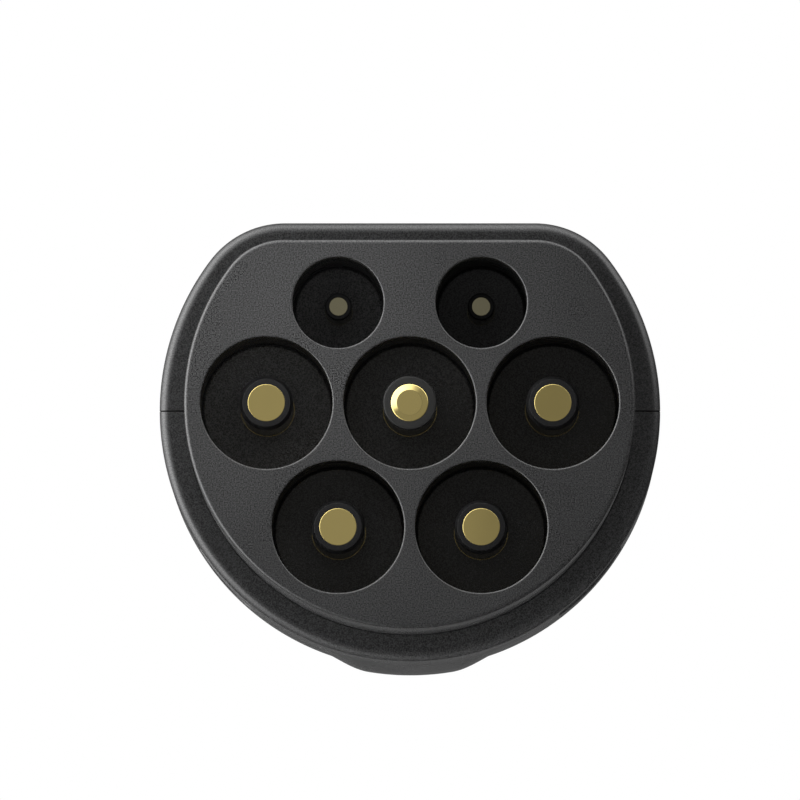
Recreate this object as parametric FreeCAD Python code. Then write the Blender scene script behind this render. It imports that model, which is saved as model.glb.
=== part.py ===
"""Charging adapter, from a seven-pin cable connector to a five-contact vehicle inlet.

Millimetres. X runs to the right of someone facing the seven pins, Y runs from that side through
the case to the vehicle, and Z is up. The origin lies on the axis of the earth pin, in the plane
of the back of the case, where the vehicle-side plug comes out.
"""

import FreeCAD, Part
import math
import os

Vec = FreeCAD.Vector
ALONG = Vec(0, 1, 0)
UP = Vec(0, 0, 1)

# Inlet block: a round insulator with a flat top, which the cable's hood slides over
BLOCK_R = 25.2
BLOCK_FLAT = 18.2
BLOCK_CORNER_R = 7.5
BLOCK_REACH = 37.0
BLOCK_SEAT = 6.0
BLOCK_EDGE = 0.4
FLANGE_WIDE = 1.2
FLANGE_THICK = 2.5

# Layout of the seven contacts, measured from the earth pin
LINE_X = 16.0
LOWER_X = 8.0
LOWER_DROP = 13.9
SIGNAL_X = 8.0
SIGNAL_RISE = 11.2

# Wells round the contacts
WELL_R = 7.45
WELL_DEPTH = 31.0
SIGNAL_WELL_R = 5.15
SIGNAL_WELL_DEPTH = 38.0
WELL_EDGE = 0.15
LIP_THICK = 0.7
LIP_CLEAR = 0.17

# Power pins
PIN_R = 3.0
PIN_NOSE_R = 2.08
PIN_TIP_DEPTH = 1.0
EARTH_TIP_DEPTH = 0.2
NOSE_ROUND = 0.4
PIN_SEAT_R = 3.25
PIN_COLLAR_R = 3.9
PIN_TAIL_R = 2.5
PIN_SEAL_DEPTH = 0.75

# Signal pins
SIGNAL_R = 1.5
SIGNAL_NOSE_R = 1.1
SIGNAL_TIP_DEPTH = 16.5
SIGNAL_SEAT_R = 1.8
SIGNAL_COLLAR_R = 2.5
SIGNAL_TAIL_R = 1.75
SIGNAL_SEAL_DEPTH = 0.6

# What all pins share
GUARD_LENGTH = 3.2
GUARD_TAPER = 0.32
GUARD_TAPER_LENGTH = 1.3
EARTH_GUARD_EDGE = 0.35
EARTH_GUARD_BACK = 0.3
NECK_DEPTH = 0.2
COLLAR_THICK = 2.5
TAIL_LENGTH = 4.5
CUP_WALL = 0.7
CUP_DEPTH = 4.0
SEAL_WIDTH = 1.2
SEAL_FROM_BACK = 2.9
BORE_CLEAR = 0.1
RUBBER_CLEAR = 0.02

# Plate behind the block that holds the pins, and its screws
CLAMP_THICK = 3.0
CLAMP_INSET = 1.8
CLAMP_SCREW_X = 15.4
CLAMP_SCREW_RISE = 9.2
CLAMP_SCREW_DROP = 10.6

# Case: two half shells that meet level with the earth pin
CASE_LENGTH = 47.0
CASE_WALL = 2.85
CASE_CLEAR = 0.15
RIM_ROUND = 0.9
RIM_INNER_EDGE = 0.15
BACK_ROUND = 2.0
SPLIT_GAP = 0.1
TONGUE_THICK = 1.0
TONGUE_HEIGHT = 1.4
TONGUE_CLEAR = 0.1
END_WALL = 2.5
BULKHEAD = 2.0
RIB_HEIGHT = 1.4
RIB_THICK = 1.4
RIB_PITCH = 10.0

# Rubber ring between the block and the case
GASKET_WIDE = 1.8
GASKET_DEEP = 1.0
GASKET_FROM_RIM = 0.9

# Raised pad under the case, and the two shallow grip panels on its lower flanks
PAD_HEIGHT = 1.0
PAD_FLAT_WIDE = 9.2
PAD_FOOT_WIDE = 21.2
PAD_RAMP = 22.0
PAD_FROM_RIM = 2.0
PAD_FROM_BACK = 4.0
GRIP_DEEP = 0.2
GRIP_TOP_ANGLE = 32.0
GRIP_LOW_ANGLE = 53.0
GRIP_FROM_RIM = 4.0
GRIP_LENGTH = 22.0

# Screws that close the case, put in from below
BOSS_X = 20.3
BOSS_R = 3.0
BOSS_FROM_BACK = 17.5
BOSS_PITCH = 10.0
HEAD_POCKET_CLEAR = 0.3
HEAD_POCKET_WALL = 1.2
HEAD_SEAT_DROP = 11.0
CASE_SCREW_LENGTH = 19.0
CASE_SCREW_R = 1.4
CASE_HEAD_R = 2.6
CASE_HEAD_HIGH = 2.0

# Small screws of the two clamp plates
SCREW_R = 1.2
SCREW_HEAD_R = 2.2
SCREW_HEAD_HIGH = 1.5
SCREW_BITE = 6.5
SCREW_CLEAR = 0.08

# Vehicle-side plug: rounded outline through two upper lobes and one lower lobe
NOSE_LENGTH = 36.0
LOBE_X = 9.5
LOBE_RISE = 3.5
LOBE_R = 12.0
LOW_LOBE_DROP = 4.0
LOW_LOBE_R = 11.5
NOSE_CLEAR = 0.15
NOSE_TIP_ROUND = 1.6
NOSE_FLANGE_WIDE = 2.0
NOSE_FLANGE_THICK = 2.5
NOSE_HUB = 2.5
LATCH_WIDE = 7.0
LATCH_LONG = 8.0
LATCH_DEEP = 3.0
LATCH_FROM_BACK = 14.0

# Contact sleeves of the vehicle-side plug
EARTH_SOCKET_DROP = 8.0
SIGNAL_SOCKET_X = 8.2
SIGNAL_SOCKET_DROP = 6.5
SOCKET_R = 4.0
EARTH_SOCKET_R = 2.5
SIGNAL_SOCKET_R = 1.3
SOCKET_WALL = 1.1
SIGNAL_SOCKET_WALL = 0.65
SOCKET_DEPTH = 20.0
SOCKET_FROM_TIP = 7.0
SOCKET_COLLAR_WIDE = 1.0
SLOT_SHARE = 0.2
SLOT_LONG = 12.0
SPRING_WIDE = 3.0
SPRING_THICK = 0.4
SPRING_FROM_MOUTH = 4.0
SPRING_CUT = 1.5

# Plate behind the plug that holds the sleeves
SOCKET_CLAMP_THICK = 2.0
SOCKET_CLAMP_INSET = 0.5
SOCKET_SCREW_RISE = 9.5
SOCKET_SCREW_X = 13.0
SOCKET_SCREW_DROP = 4.8

# Rubber ring at the root of the plug
NOSE_GASKET_WIDE = 2.0
NOSE_GASKET_THICK = 1.6

# Copper links and signal leads
LINK_R = 1.6
LINK_BEND = 4.0
LINK_STRAIGHT = 2.5
LEAD_R = 0.75
LEAD_BEND = 2.4
LEAD_RUN = 4.5

# Coding board, hung under the top of the case
BOARD_WIDE = 18.0
BOARD_LONG = 14.0
BOARD_THICK = 1.4
BOARD_RISE = 14.0
BOARD_FROM_BACK = 17.0
POST_R = 1.8
POST_INSET = 2.5
PEG_R = 0.9
PEG_CLEAR = 0.1
RESISTOR_WIDE = 2.6
RESISTOR_LONG = 5.0
RESISTOR_HIGH = 1.1
RESISTOR_X = 5.0

# Stations along Y that follow from these sizes
RIM_Y = -CASE_LENGTH
FACE_Y = RIM_Y - BLOCK_REACH
BLOCK_BACK_Y = RIM_Y + BLOCK_SEAT
CLAMP_BACK_Y = BLOCK_BACK_Y + CLAMP_THICK
PIN_END_Y = CLAMP_BACK_Y + TAIL_LENGTH
WALL_Y = -END_WALL
NOSE_SEAT_Y = WALL_Y - NOSE_FLANGE_THICK
BULKHEAD_Y = NOSE_SEAT_Y - BULKHEAD
HUB_Y = NOSE_SEAT_Y - BULKHEAD - NOSE_HUB
SOCKET_CLAMP_Y = HUB_Y - SOCKET_CLAMP_THICK
SOCKET_END_Y = SOCKET_CLAMP_Y - TAIL_LENGTH
CASE_GROW = CASE_CLEAR + CASE_WALL
CEILING_Z = BLOCK_FLAT + CASE_CLEAR

POWER = {
    "r": PIN_R,
    "nose_r": PIN_NOSE_R,
    "tip_y": FACE_Y + PIN_TIP_DEPTH,
    "seat_r": PIN_SEAT_R,
    "collar_r": PIN_COLLAR_R,
    "tail_r": PIN_TAIL_R,
    "seal_depth": PIN_SEAL_DEPTH,
    "well_r": WELL_R,
    "well_y": FACE_Y + WELL_DEPTH,
    "guard_back": 0.0,
    "guard_taper": GUARD_TAPER,
    "taper_length": GUARD_TAPER_LENGTH,
}
EARTH = dict(
    POWER,
    tip_y=FACE_Y + EARTH_TIP_DEPTH,
    guard_back=EARTH_GUARD_BACK,
    guard_taper=EARTH_GUARD_EDGE,
    taper_length=EARTH_GUARD_EDGE,
)
SIGNAL = {
    "r": SIGNAL_R,
    "nose_r": SIGNAL_NOSE_R,
    "tip_y": FACE_Y + SIGNAL_TIP_DEPTH,
    "seat_r": SIGNAL_SEAT_R,
    "collar_r": SIGNAL_COLLAR_R,
    "tail_r": SIGNAL_TAIL_R,
    "seal_depth": SIGNAL_SEAL_DEPTH,
    "well_r": SIGNAL_WELL_R,
    "well_y": FACE_Y + SIGNAL_WELL_DEPTH,
    "guard_back": 0.0,
    "guard_taper": WELL_EDGE,
    "taper_length": WELL_EDGE,
}
PINS = {
    "earth": (0.0, 0.0, EARTH),
    "line_1": (LINE_X, 0.0, POWER),
    "neutral": (-LINE_X, 0.0, POWER),
    "line_2": (LOWER_X, -LOWER_DROP, POWER),
    "line_3": (-LOWER_X, -LOWER_DROP, POWER),
    "pilot": (SIGNAL_X, SIGNAL_RISE, SIGNAL),
    "proximity": (-SIGNAL_X, SIGNAL_RISE, SIGNAL),
}
SOCKETS = {
    "line": (LOBE_X, LOBE_RISE, SOCKET_R, SOCKET_WALL, PIN_TAIL_R),
    "neutral": (-LOBE_X, LOBE_RISE, SOCKET_R, SOCKET_WALL, PIN_TAIL_R),
    "earth": (0.0, -EARTH_SOCKET_DROP, EARTH_SOCKET_R, SOCKET_WALL, PIN_TAIL_R),
    "pilot": (
        SIGNAL_SOCKET_X, -SIGNAL_SOCKET_DROP, SIGNAL_SOCKET_R, SIGNAL_SOCKET_WALL, SIGNAL_TAIL_R
    ),
    "proximity": (
        -SIGNAL_SOCKET_X, -SIGNAL_SOCKET_DROP, SIGNAL_SOCKET_R, SIGNAL_SOCKET_WALL, SIGNAL_TAIL_R
    ),
}
CLAMP_SCREWS = [
    (side * CLAMP_SCREW_X, z) for side in (-1, 1) for z in (CLAMP_SCREW_RISE, -CLAMP_SCREW_DROP)
]
SOCKET_SCREWS = [
    (0.0, SOCKET_SCREW_RISE),
    (SOCKET_SCREW_X, -SOCKET_SCREW_DROP),
    (-SOCKET_SCREW_X, -SOCKET_SCREW_DROP),
]
BOSS_SPOTS = [
    (side * BOSS_X, -BOSS_FROM_BACK - step * BOSS_PITCH) for side in (-1, 1) for step in (0, 1)
]


def at(x, z, y=0.0):
    return Vec(x, y, z)


def arc(start, middle, end):
    return Part.Arc(start, middle, end).toShape()


def line(start, end):
    return Part.LineSegment(start, end).toShape()


def dee(grow):
    """The block's outline, grown outwards: a circle with a flat top and two round corners."""
    r = BLOCK_R + grow
    corner = BLOCK_CORNER_R + grow
    flat = BLOCK_FLAT + grow
    centre_z = BLOCK_FLAT - BLOCK_CORNER_R
    reach = BLOCK_R - BLOCK_CORNER_R
    centre_x = math.sqrt(reach**2 - centre_z**2)
    touch_x = centre_x / reach * r
    touch_z = centre_z / reach * r
    bulge = math.radians(45) + math.atan2(centre_z, centre_x) / 2
    bulge_x = centre_x + corner * math.cos(bulge)
    bulge_z = centre_z + corner * math.sin(bulge)
    edges = [
        line(at(-centre_x, flat), at(centre_x, flat)),
        arc(at(centre_x, flat), at(bulge_x, bulge_z), at(touch_x, touch_z)),
        arc(at(touch_x, touch_z), at(0, -r), at(-touch_x, touch_z)),
        arc(at(-touch_x, touch_z), at(-bulge_x, bulge_z), at(-centre_x, flat)),
    ]
    return Part.Face(Part.Wire(edges))


def lobes(grow):
    """The plug's outline, grown outwards: tangent lines and arcs round three circles."""
    circles = [
        (at(0, -LOW_LOBE_DROP), LOW_LOBE_R + grow),
        (at(LOBE_X, LOBE_RISE), LOBE_R + grow),
        (at(-LOBE_X, LOBE_RISE), LOBE_R + grow),
    ]
    normals = []
    for here, there in zip(circles, circles[1:] + circles[:1]):
        step = there[0] - here[0]
        lean = (here[1] - there[1]) / step.Length
        step.normalize()
        outward = at(step.z, -step.x)
        normals.append(step * lean + outward * math.sqrt(1 - lean**2))
    edges = []
    for index, (centre, r) in enumerate(circles):
        into = normals[index - 1]
        away = normals[index]
        middle = into + away
        middle.normalize()
        following, following_r = circles[(index + 1) % 3]
        edges.append(arc(centre + into * r, centre + middle * r, centre + away * r))
        edges.append(line(centre + away * r, following + away * following_r))
    return Part.Face(Part.Wire(edges))


def prism(face, start_y, end_y):
    outline = face.copy()
    outline.translate(Vec(0, start_y, 0))
    return outline.extrude(Vec(0, end_y - start_y, 0))


def rod(x, z, start_y, end_y, r):
    return Part.makeCylinder(r, end_y - start_y, at(x, z, start_y), ALONG)


def ring(outer, inner, start_y, end_y):
    return prism(outer, start_y, end_y).cut(prism(inner, start_y, end_y))


def turned(x, z, profile):
    """A solid turned about an axis along Y, from (radius, y) points of one closed profile."""
    points = [at(x + r, z, y) for r, y in profile]
    outline = Part.makePolygon(points + points[:1])
    return Part.Face(outline).revolve(at(x, z), ALONG, 360)


def front_edges(solid, y):
    return [edge for edge in solid.Edges if all(abs(v.Y - y) < 1e-6 for v in edge.Vertexes)]


def screw(seat, outward, r, length, head_r, head_high):
    """Pan-head screw with a cross recess; seat is the middle of the underside of its head."""
    shank = Part.makeCylinder(r, length, Vec(0, 0, -length))
    tip = Part.makeCone(0.3 * r, r, r, Vec(0, 0, -length - r))
    head = Part.makeCylinder(head_r, head_high)
    top = [edge for edge in head.Edges if all(v.Z > head_high / 2 for v in edge.Vertexes)]
    head = head.makeFillet(0.45 * head_high, top)
    arm = 0.6 * head_r
    half = 0.14 * head_r
    deep = 0.55 * head_high
    slot = Part.makeBox(2 * arm, 2 * half, deep + 1, Vec(-arm, -half, head_high - deep))
    cross = slot.fuse(slot.copy().rotate(Vec(0, 0, 0), UP, 90))
    body = shank.fuse([tip, head]).cut(cross).removeSplitter()
    body.Placement = FreeCAD.Placement(seat, FreeCAD.Rotation(UP, outward))
    return body


def link(start, end, knee_start, knee_end, r, bend):
    """A round conductor along Y, across to another axis, and along Y again."""
    points = [start, at(start.x, start.z, knee_start), at(end.x, end.z, knee_end), end]
    edges = []
    here = points[0]
    for before, corner, after in zip(points, points[1:], points[2:]):
        back = before - corner
        ahead = after - corner
        back.normalize()
        ahead.normalize()
        half = back.getAngle(ahead) / 2
        cut = bend / math.tan(half)
        inward = back + ahead
        inward.normalize()
        middle = corner + inward * (bend / math.sin(half) - bend)
        edges.append(line(here, corner + back * cut))
        edges.append(arc(corner + back * cut, middle, corner + ahead * cut))
        here = corner + ahead * cut
    edges.append(line(here, points[-1]))
    path = Part.Wire(edges)
    section = Part.Wire([Part.Circle(start, ALONG, r).toShape()])
    return path.makePipeShell([section], True, False)


def pin(x, z, size):
    """A turned pin: nose, shank, neck, seat with a seal groove, collar, and a conductor's cup."""
    seal_y = BLOCK_BACK_Y - SEAL_FROM_BACK
    groove_r = size["seat_r"] - size["seal_depth"]
    guard_y = size["tip_y"] + GUARD_LENGTH
    neck_r = size["r"] - NECK_DEPTH
    collar_y = BLOCK_BACK_Y - COLLAR_THICK
    cup_r = size["tail_r"] - CUP_WALL
    body = turned(x, z, [
        (0, size["tip_y"]),
        (size["nose_r"], size["tip_y"]),
        (size["nose_r"], guard_y),
        (size["r"], guard_y),
        (size["r"], size["well_y"]),
        (neck_r, size["well_y"]),
        (neck_r, size["well_y"] + LIP_THICK),
        (size["seat_r"], size["well_y"] + LIP_THICK),
        (size["seat_r"], seal_y - SEAL_WIDTH),
        (groove_r, seal_y - SEAL_WIDTH),
        (groove_r, seal_y),
        (size["seat_r"], seal_y),
        (size["seat_r"], collar_y),
        (size["collar_r"], collar_y),
        (size["collar_r"], BLOCK_BACK_Y),
        (size["tail_r"], BLOCK_BACK_Y),
        (size["tail_r"], PIN_END_Y),
        (cup_r, PIN_END_Y),
        (cup_r, PIN_END_Y - CUP_DEPTH),
        (0, PIN_END_Y - CUP_DEPTH),
    ])
    nose = NOSE_ROUND if size is EARTH else WELL_EDGE / 2
    return body.makeFillet(nose, front_edges(body, size["tip_y"]))


def guard(x, z, size):
    """The dark collar pressed round the nose of a pin, flush with the shank."""
    tip = size["tip_y"] + size["guard_back"]
    end = size["tip_y"] + GUARD_LENGTH
    inner = size["nose_r"] + BORE_CLEAR / 2
    front_r = size["r"] - size["guard_taper"]
    return turned(x, z, [
        (inner, tip),
        (front_r, tip),
        (size["r"], tip + size["taper_length"]),
        (size["r"], end),
        (inner, end),
    ])


def seal(x, z, size):
    """The rubber ring in a pin's groove, which fills the bore of the block."""
    seal_y = BLOCK_BACK_Y - SEAL_FROM_BACK
    inner = size["seat_r"] - size["seal_depth"] + RUBBER_CLEAR
    outer = size["seat_r"] + BORE_CLEAR - RUBBER_CLEAR
    start = seal_y - SEAL_WIDTH + RUBBER_CLEAR
    end = seal_y - RUBBER_CLEAR
    edge = 0.2 * (outer - inner)
    return turned(x, z, [
        (inner, start),
        (outer - edge, start),
        (outer, start + edge),
        (outer, end - edge),
        (outer - edge, end),
        (inner, end),
    ])


def inlet_block():
    """Moulded insulator: seven wells, stepped bores behind them, and a trapped flange."""
    body = prism(dee(0), FACE_Y, BLOCK_BACK_Y)
    body = body.makeFillet(BLOCK_EDGE, front_edges(body, FACE_Y))
    body = body.fuse(prism(dee(FLANGE_WIDE), BLOCK_BACK_Y - FLANGE_THICK, BLOCK_BACK_Y))
    groove_y = RIM_Y + GASKET_FROM_RIM
    body = body.cut(ring(dee(FLANGE_WIDE), dee(-GASKET_DEEP), groove_y, groove_y + GASKET_WIDE))
    cuts = []
    for x, z, size in PINS.values():
        edge_r = size["well_r"] + WELL_EDGE
        collar_y = BLOCK_BACK_Y - COLLAR_THICK
        cuts.append(rod(x, z, FACE_Y, size["well_y"], size["well_r"]))
        cuts.append(Part.makeCone(edge_r, size["well_r"], WELL_EDGE, at(x, z, FACE_Y), ALONG))
        cuts.append(rod(x, z, size["well_y"], BLOCK_BACK_Y, size["r"] + LIP_CLEAR))
        bore_y = size["well_y"] + LIP_THICK
        cuts.append(rod(x, z, bore_y, BLOCK_BACK_Y, size["seat_r"] + BORE_CLEAR))
        cuts.append(rod(x, z, collar_y, BLOCK_BACK_Y, size["collar_r"] + BORE_CLEAR))
    for x, z in CLAMP_SCREWS:
        hole_y = BLOCK_BACK_Y - SCREW_BITE - SCREW_R - SCREW_CLEAR
        cuts.append(rod(x, z, hole_y, BLOCK_BACK_Y, SCREW_R + SCREW_CLEAR))
    return body.cut(cuts)


def inlet_gasket():
    groove_y = RIM_Y + GASKET_FROM_RIM
    start = groove_y + RUBBER_CLEAR
    end = groove_y + GASKET_WIDE - RUBBER_CLEAR
    return ring(dee(CASE_CLEAR - RUBBER_CLEAR), dee(RUBBER_CLEAR - GASKET_DEEP), start, end)


def pin_clamp_plate():
    plate = prism(dee(-CLAMP_INSET), BLOCK_BACK_Y, CLAMP_BACK_Y)
    holes = [
        rod(x, z, BLOCK_BACK_Y, CLAMP_BACK_Y, size["tail_r"] + BORE_CLEAR)
        for x, z, size in PINS.values()
    ]
    holes += [
        rod(x, z, BLOCK_BACK_Y, CLAMP_BACK_Y, SCREW_R + SCREW_CLEAR) for x, z in CLAMP_SCREWS
    ]
    return plate.cut(holes)


def clamp_screws():
    length = CLAMP_THICK + SCREW_BITE
    return Part.makeCompound([
        screw(at(x, z, CLAMP_BACK_Y), ALONG, SCREW_R, length, SCREW_HEAD_R, SCREW_HEAD_HIGH)
        for x, z in CLAMP_SCREWS
    ])


def pad():
    """The raised pad: a band just outside the round underside, faded out at its four sides."""
    r = BLOCK_R + CASE_GROW
    top = r + PAD_HEIGHT
    deep = r - CASE_WALL / 2

    def on(radius, x):
        return at(x, -math.sqrt(radius**2 - x**2))

    flat = PAD_FLAT_WIDE / 2
    foot = PAD_FOOT_WIDE / 2
    ease = 0.45 * (foot - flat)
    sides = []
    for side in (-1, 1):
        low = on(r, side * foot)
        high = on(top, side * flat)
        curve = Part.BezierCurve()
        curve.setPoles([
            low,
            on(r, side * (foot - ease)),
            on(top, side * (flat + ease)),
            high,
        ])
        sides.append(curve.toShape())
    edges = [
        sides[0],
        arc(on(top, -flat), at(0, -top), on(top, flat)),
        sides[1],
        line(on(r, foot), on(deep, foot)),
        arc(on(deep, foot), at(0, -deep), on(deep, -foot)),
        line(on(deep, -foot), on(r, -foot)),
    ]
    band = prism(Part.Face(Part.Wire(Part.__sortEdges__(edges))), RIM_Y, 0)
    start = RIM_Y + PAD_FROM_RIM
    end = -PAD_FROM_BACK
    envelope = turned(0, 0, [
        (0, start),
        (r, start),
        (top, start + PAD_RAMP),
        (top, end - PAD_RAMP / 2),
        (r, end),
        (0, end),
    ])
    return band.common(envelope)


def grip_panels():
    """Two shallow recesses round the lower flanks, as one cutting tool."""
    start = RIM_Y + GRIP_FROM_RIM
    end = start + GRIP_LENGTH
    far = BLOCK_R + 2 * CASE_GROW
    band = ring(dee(2 * CASE_GROW), dee(CASE_GROW - GRIP_DEEP), start, end)
    tools = []
    for side in (-1, 1):
        corners = [
            at(side * far * math.cos(math.radians(a)), -far * math.sin(math.radians(a)))
            for a in (GRIP_TOP_ANGLE, GRIP_LOW_ANGLE)
        ]
        wedge = Part.Face(Part.makePolygon([at(0, 0), corners[0] * 2, corners[1] * 2, at(0, 0)]))
        tools.append(band.common(prism(wedge, start, end)))
    return tools


def case():
    """The whole case before it is split: skin, groove for the block, end wall and bulkhead."""
    skin = prism(dee(CASE_GROW), RIM_Y, 0)
    skin = skin.makeFillet(RIM_ROUND, front_edges(skin, RIM_Y))
    skin = skin.makeFillet(BACK_ROUND, front_edges(skin, 0))
    skin = skin.fuse(pad()).cut(grip_panels())
    skin = skin.cut(prism(dee(CASE_CLEAR), RIM_Y, WALL_Y))
    rim_edge = prism(dee(CASE_CLEAR + RIM_INNER_EDGE), RIM_Y, RIM_Y + RIM_INNER_EDGE)
    skin = skin.cut(rim_edge)
    groove_grow = FLANGE_WIDE + CASE_CLEAR
    groove_y = BLOCK_BACK_Y - FLANGE_THICK - BORE_CLEAR
    skin = skin.cut(prism(dee(groove_grow), groove_y, BLOCK_BACK_Y + BORE_CLEAR))
    inside = dee(CASE_CLEAR)
    wall_end = NOSE_SEAT_Y - BORE_CLEAR
    skin = skin.fuse(ring(inside, lobes(NOSE_CLEAR), BULKHEAD_Y, wall_end))
    for step in (0, 1, 2):
        rib_y = -BOSS_FROM_BACK - (step - 0.5) * RIB_PITCH
        if rib_y < BULKHEAD_Y - RIB_THICK:
            skin = skin.fuse(ring(inside, dee(CASE_CLEAR - RIB_HEIGHT), rib_y, rib_y + RIB_THICK))
    return skin.cut(prism(lobes(NOSE_CLEAR), WALL_Y, 0))


def half(whole, side):
    """Everything above (side 1) or below (side -1) the split, less half of the gap."""
    far = 2 * (BLOCK_R + CASE_GROW)
    start = SPLIT_GAP / 2 if side > 0 else -far
    box = Part.makeBox(2 * far, 2 * far, far - SPLIT_GAP / 2, Vec(-far, -1.5 * far, start))
    return whole.common(box)


def tongue(clear):
    """The lip along both sides of the split; the upper shell's rebate is the same, cleared."""
    start = BLOCK_BACK_Y + CASE_WALL
    end = BULKHEAD_Y
    band = ring(dee(CASE_CLEAR + TONGUE_THICK + clear), dee(CASE_CLEAR), start - clear, end + clear)
    far = 2 * BLOCK_R
    low = -SPLIT_GAP / 2
    high = TONGUE_HEIGHT + clear
    return band.common(Part.makeBox(2 * far, 2 * far, high - low, Vec(-far, -1.5 * far, low)))


def boss(x, y, low, high, r):
    return Part.makeCylinder(r, high - low, Vec(x, y, low))


def lower_housing(whole):
    """Lower shell: tongue, and screw bosses over deep pockets that hide the heads."""
    shell = half(whole, -1).fuse(tongue(0))
    depth = BLOCK_R + CASE_GROW
    inside = prism(dee(CASE_GROW - CASE_WALL / 2), RIM_Y, 0)
    pocket_r = CASE_HEAD_R + HEAD_POCKET_CLEAR
    seat_z = -HEAD_SEAT_DROP
    for x, y in BOSS_SPOTS:
        sleeve = boss(x, y, -depth, seat_z + HEAD_POCKET_WALL, pocket_r + HEAD_POCKET_WALL)
        column = boss(x, y, seat_z, -SPLIT_GAP / 2, BOSS_R)
        shell = shell.fuse([sleeve.common(inside), column.common(inside)])
    for x, y in BOSS_SPOTS:
        shell = shell.cut([
            boss(x, y, -depth, seat_z, pocket_r),
            boss(x, y, seat_z, 0, CASE_SCREW_R + BORE_CLEAR),
        ])
    return shell.removeSplitter()


def upper_housing(whole):
    """Upper shell: rebate for the tongue, blind screw bosses, and pegs for the coding board."""
    shell = half(whole, 1).cut(tongue(TONGUE_CLEAR))
    inside = prism(dee(CASE_GROW - CASE_WALL / 2), RIM_Y, 0)
    tip_z = CASE_SCREW_LENGTH - HEAD_SEAT_DROP + CASE_SCREW_R + 2 * BORE_CLEAR
    for x, y in BOSS_SPOTS:
        shell = shell.fuse(boss(x, y, SPLIT_GAP / 2, CEILING_Z, BOSS_R).common(inside))
        shell = shell.cut(boss(x, y, 0, tip_z, CASE_SCREW_R + BORE_CLEAR))
    board_top = BOARD_RISE + BOARD_THICK
    for y in board_pegs():
        shell = shell.fuse([
            boss(0, y, board_top, CEILING_Z + CASE_WALL / 2, POST_R),
            boss(0, y, BOARD_RISE - PEG_R, CEILING_Z, PEG_R),
        ])
    return shell.removeSplitter()


def board_pegs():
    near = -BOARD_FROM_BACK - POST_INSET
    return [near, near - BOARD_LONG + 2 * POST_INSET]


def housing_screws():
    seat_z = -HEAD_SEAT_DROP
    return Part.makeCompound([
        screw(
            Vec(x, y, seat_z), Vec(0, 0, -1), CASE_SCREW_R, CASE_SCREW_LENGTH, CASE_HEAD_R,
            CASE_HEAD_HIGH,
        )
        for x, y in BOSS_SPOTS
    ])


def nose_body():
    """Plug insulator: one long rounded prism, trapped by its flange, with five stepped bores."""
    body = prism(lobes(0), HUB_Y, NOSE_LENGTH)
    body = body.makeFillet(NOSE_TIP_ROUND, front_edges(body, NOSE_LENGTH))
    body = body.fuse(prism(lobes(NOSE_FLANGE_WIDE), NOSE_SEAT_Y, WALL_Y))
    top = LOBE_RISE + LOBE_R
    cuts = [
        Part.makeBox(
            LATCH_WIDE, LATCH_LONG, 2 * LATCH_DEEP,
            Vec(-LATCH_WIDE / 2, LATCH_FROM_BACK, top - LATCH_DEEP),
        )
    ]
    mouth_y = NOSE_LENGTH - SOCKET_FROM_TIP
    for x, z, r, wall, _ in SOCKETS.values():
        sleeve_r = r + wall + BORE_CLEAR
        collar_r = r + wall + SOCKET_COLLAR_WIDE + BORE_CLEAR
        cuts.append(rod(x, z, HUB_Y, mouth_y + BORE_CLEAR, sleeve_r))
        cuts.append(rod(x, z, HUB_Y, HUB_Y + COLLAR_THICK, collar_r))
        cuts.append(rod(x, z, mouth_y, NOSE_LENGTH, r))
    for x, z in SOCKET_SCREWS:
        end_y = HUB_Y + SCREW_BITE + SCREW_R + SCREW_CLEAR
        cuts.append(rod(x, z, HUB_Y, end_y, SCREW_R + SCREW_CLEAR))
    return body.cut(cuts)


def socket(x, z, r, wall, tail_r):
    """A contact sleeve: slotted spring mouth, blind bore, collar, and a cup for the conductor."""
    outer = r + wall
    mouth_y = NOSE_LENGTH - SOCKET_FROM_TIP
    spring_end = mouth_y - SPRING_FROM_MOUTH
    groove_r = outer - SPRING_THICK - RUBBER_CLEAR
    cup_r = tail_r - CUP_WALL
    collar_y = HUB_Y + COLLAR_THICK
    body = turned(x, z, [
        (r, mouth_y),
        (outer, mouth_y),
        (outer, spring_end),
        (groove_r, spring_end),
        (groove_r, spring_end - SPRING_WIDE),
        (outer, spring_end - SPRING_WIDE),
        (outer, collar_y),
        (outer + SOCKET_COLLAR_WIDE, collar_y),
        (outer + SOCKET_COLLAR_WIDE, HUB_Y),
        (tail_r, HUB_Y),
        (tail_r, SOCKET_END_Y),
        (cup_r, SOCKET_END_Y),
        (cup_r, SOCKET_END_Y + CUP_DEPTH),
        (0, SOCKET_END_Y + CUP_DEPTH),
        (0, mouth_y - SOCKET_DEPTH),
        (r, mouth_y - SOCKET_DEPTH),
    ])
    slot_wide = SLOT_SHARE * r
    slot_y = mouth_y - SLOT_LONG
    reach = outer + 1
    flat_slot = Part.makeBox(
        2 * reach, SLOT_LONG + 1, slot_wide, Vec(x - reach, slot_y, z - slot_wide / 2)
    )
    tall_slot = Part.makeBox(
        slot_wide, SLOT_LONG + 1, 2 * reach, Vec(x - slot_wide / 2, slot_y, z - reach)
    )
    return body.cut([flat_slot, tall_slot])


def spring(x, z, r, wall):
    """The split steel band that keeps a sleeve's four fingers closed."""
    outer = r + wall
    end = NOSE_LENGTH - SOCKET_FROM_TIP - SPRING_FROM_MOUTH - RUBBER_CLEAR
    start = end - SPRING_WIDE + 2 * RUBBER_CLEAR
    band = rod(x, z, start, end, outer).cut(rod(x, z, start, end, outer - SPRING_THICK))
    gap = Part.makeBox(
        2 * outer, SPRING_WIDE, SPRING_CUT, Vec(x, start, z - SPRING_CUT / 2)
    )
    return band.cut(gap)


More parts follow.
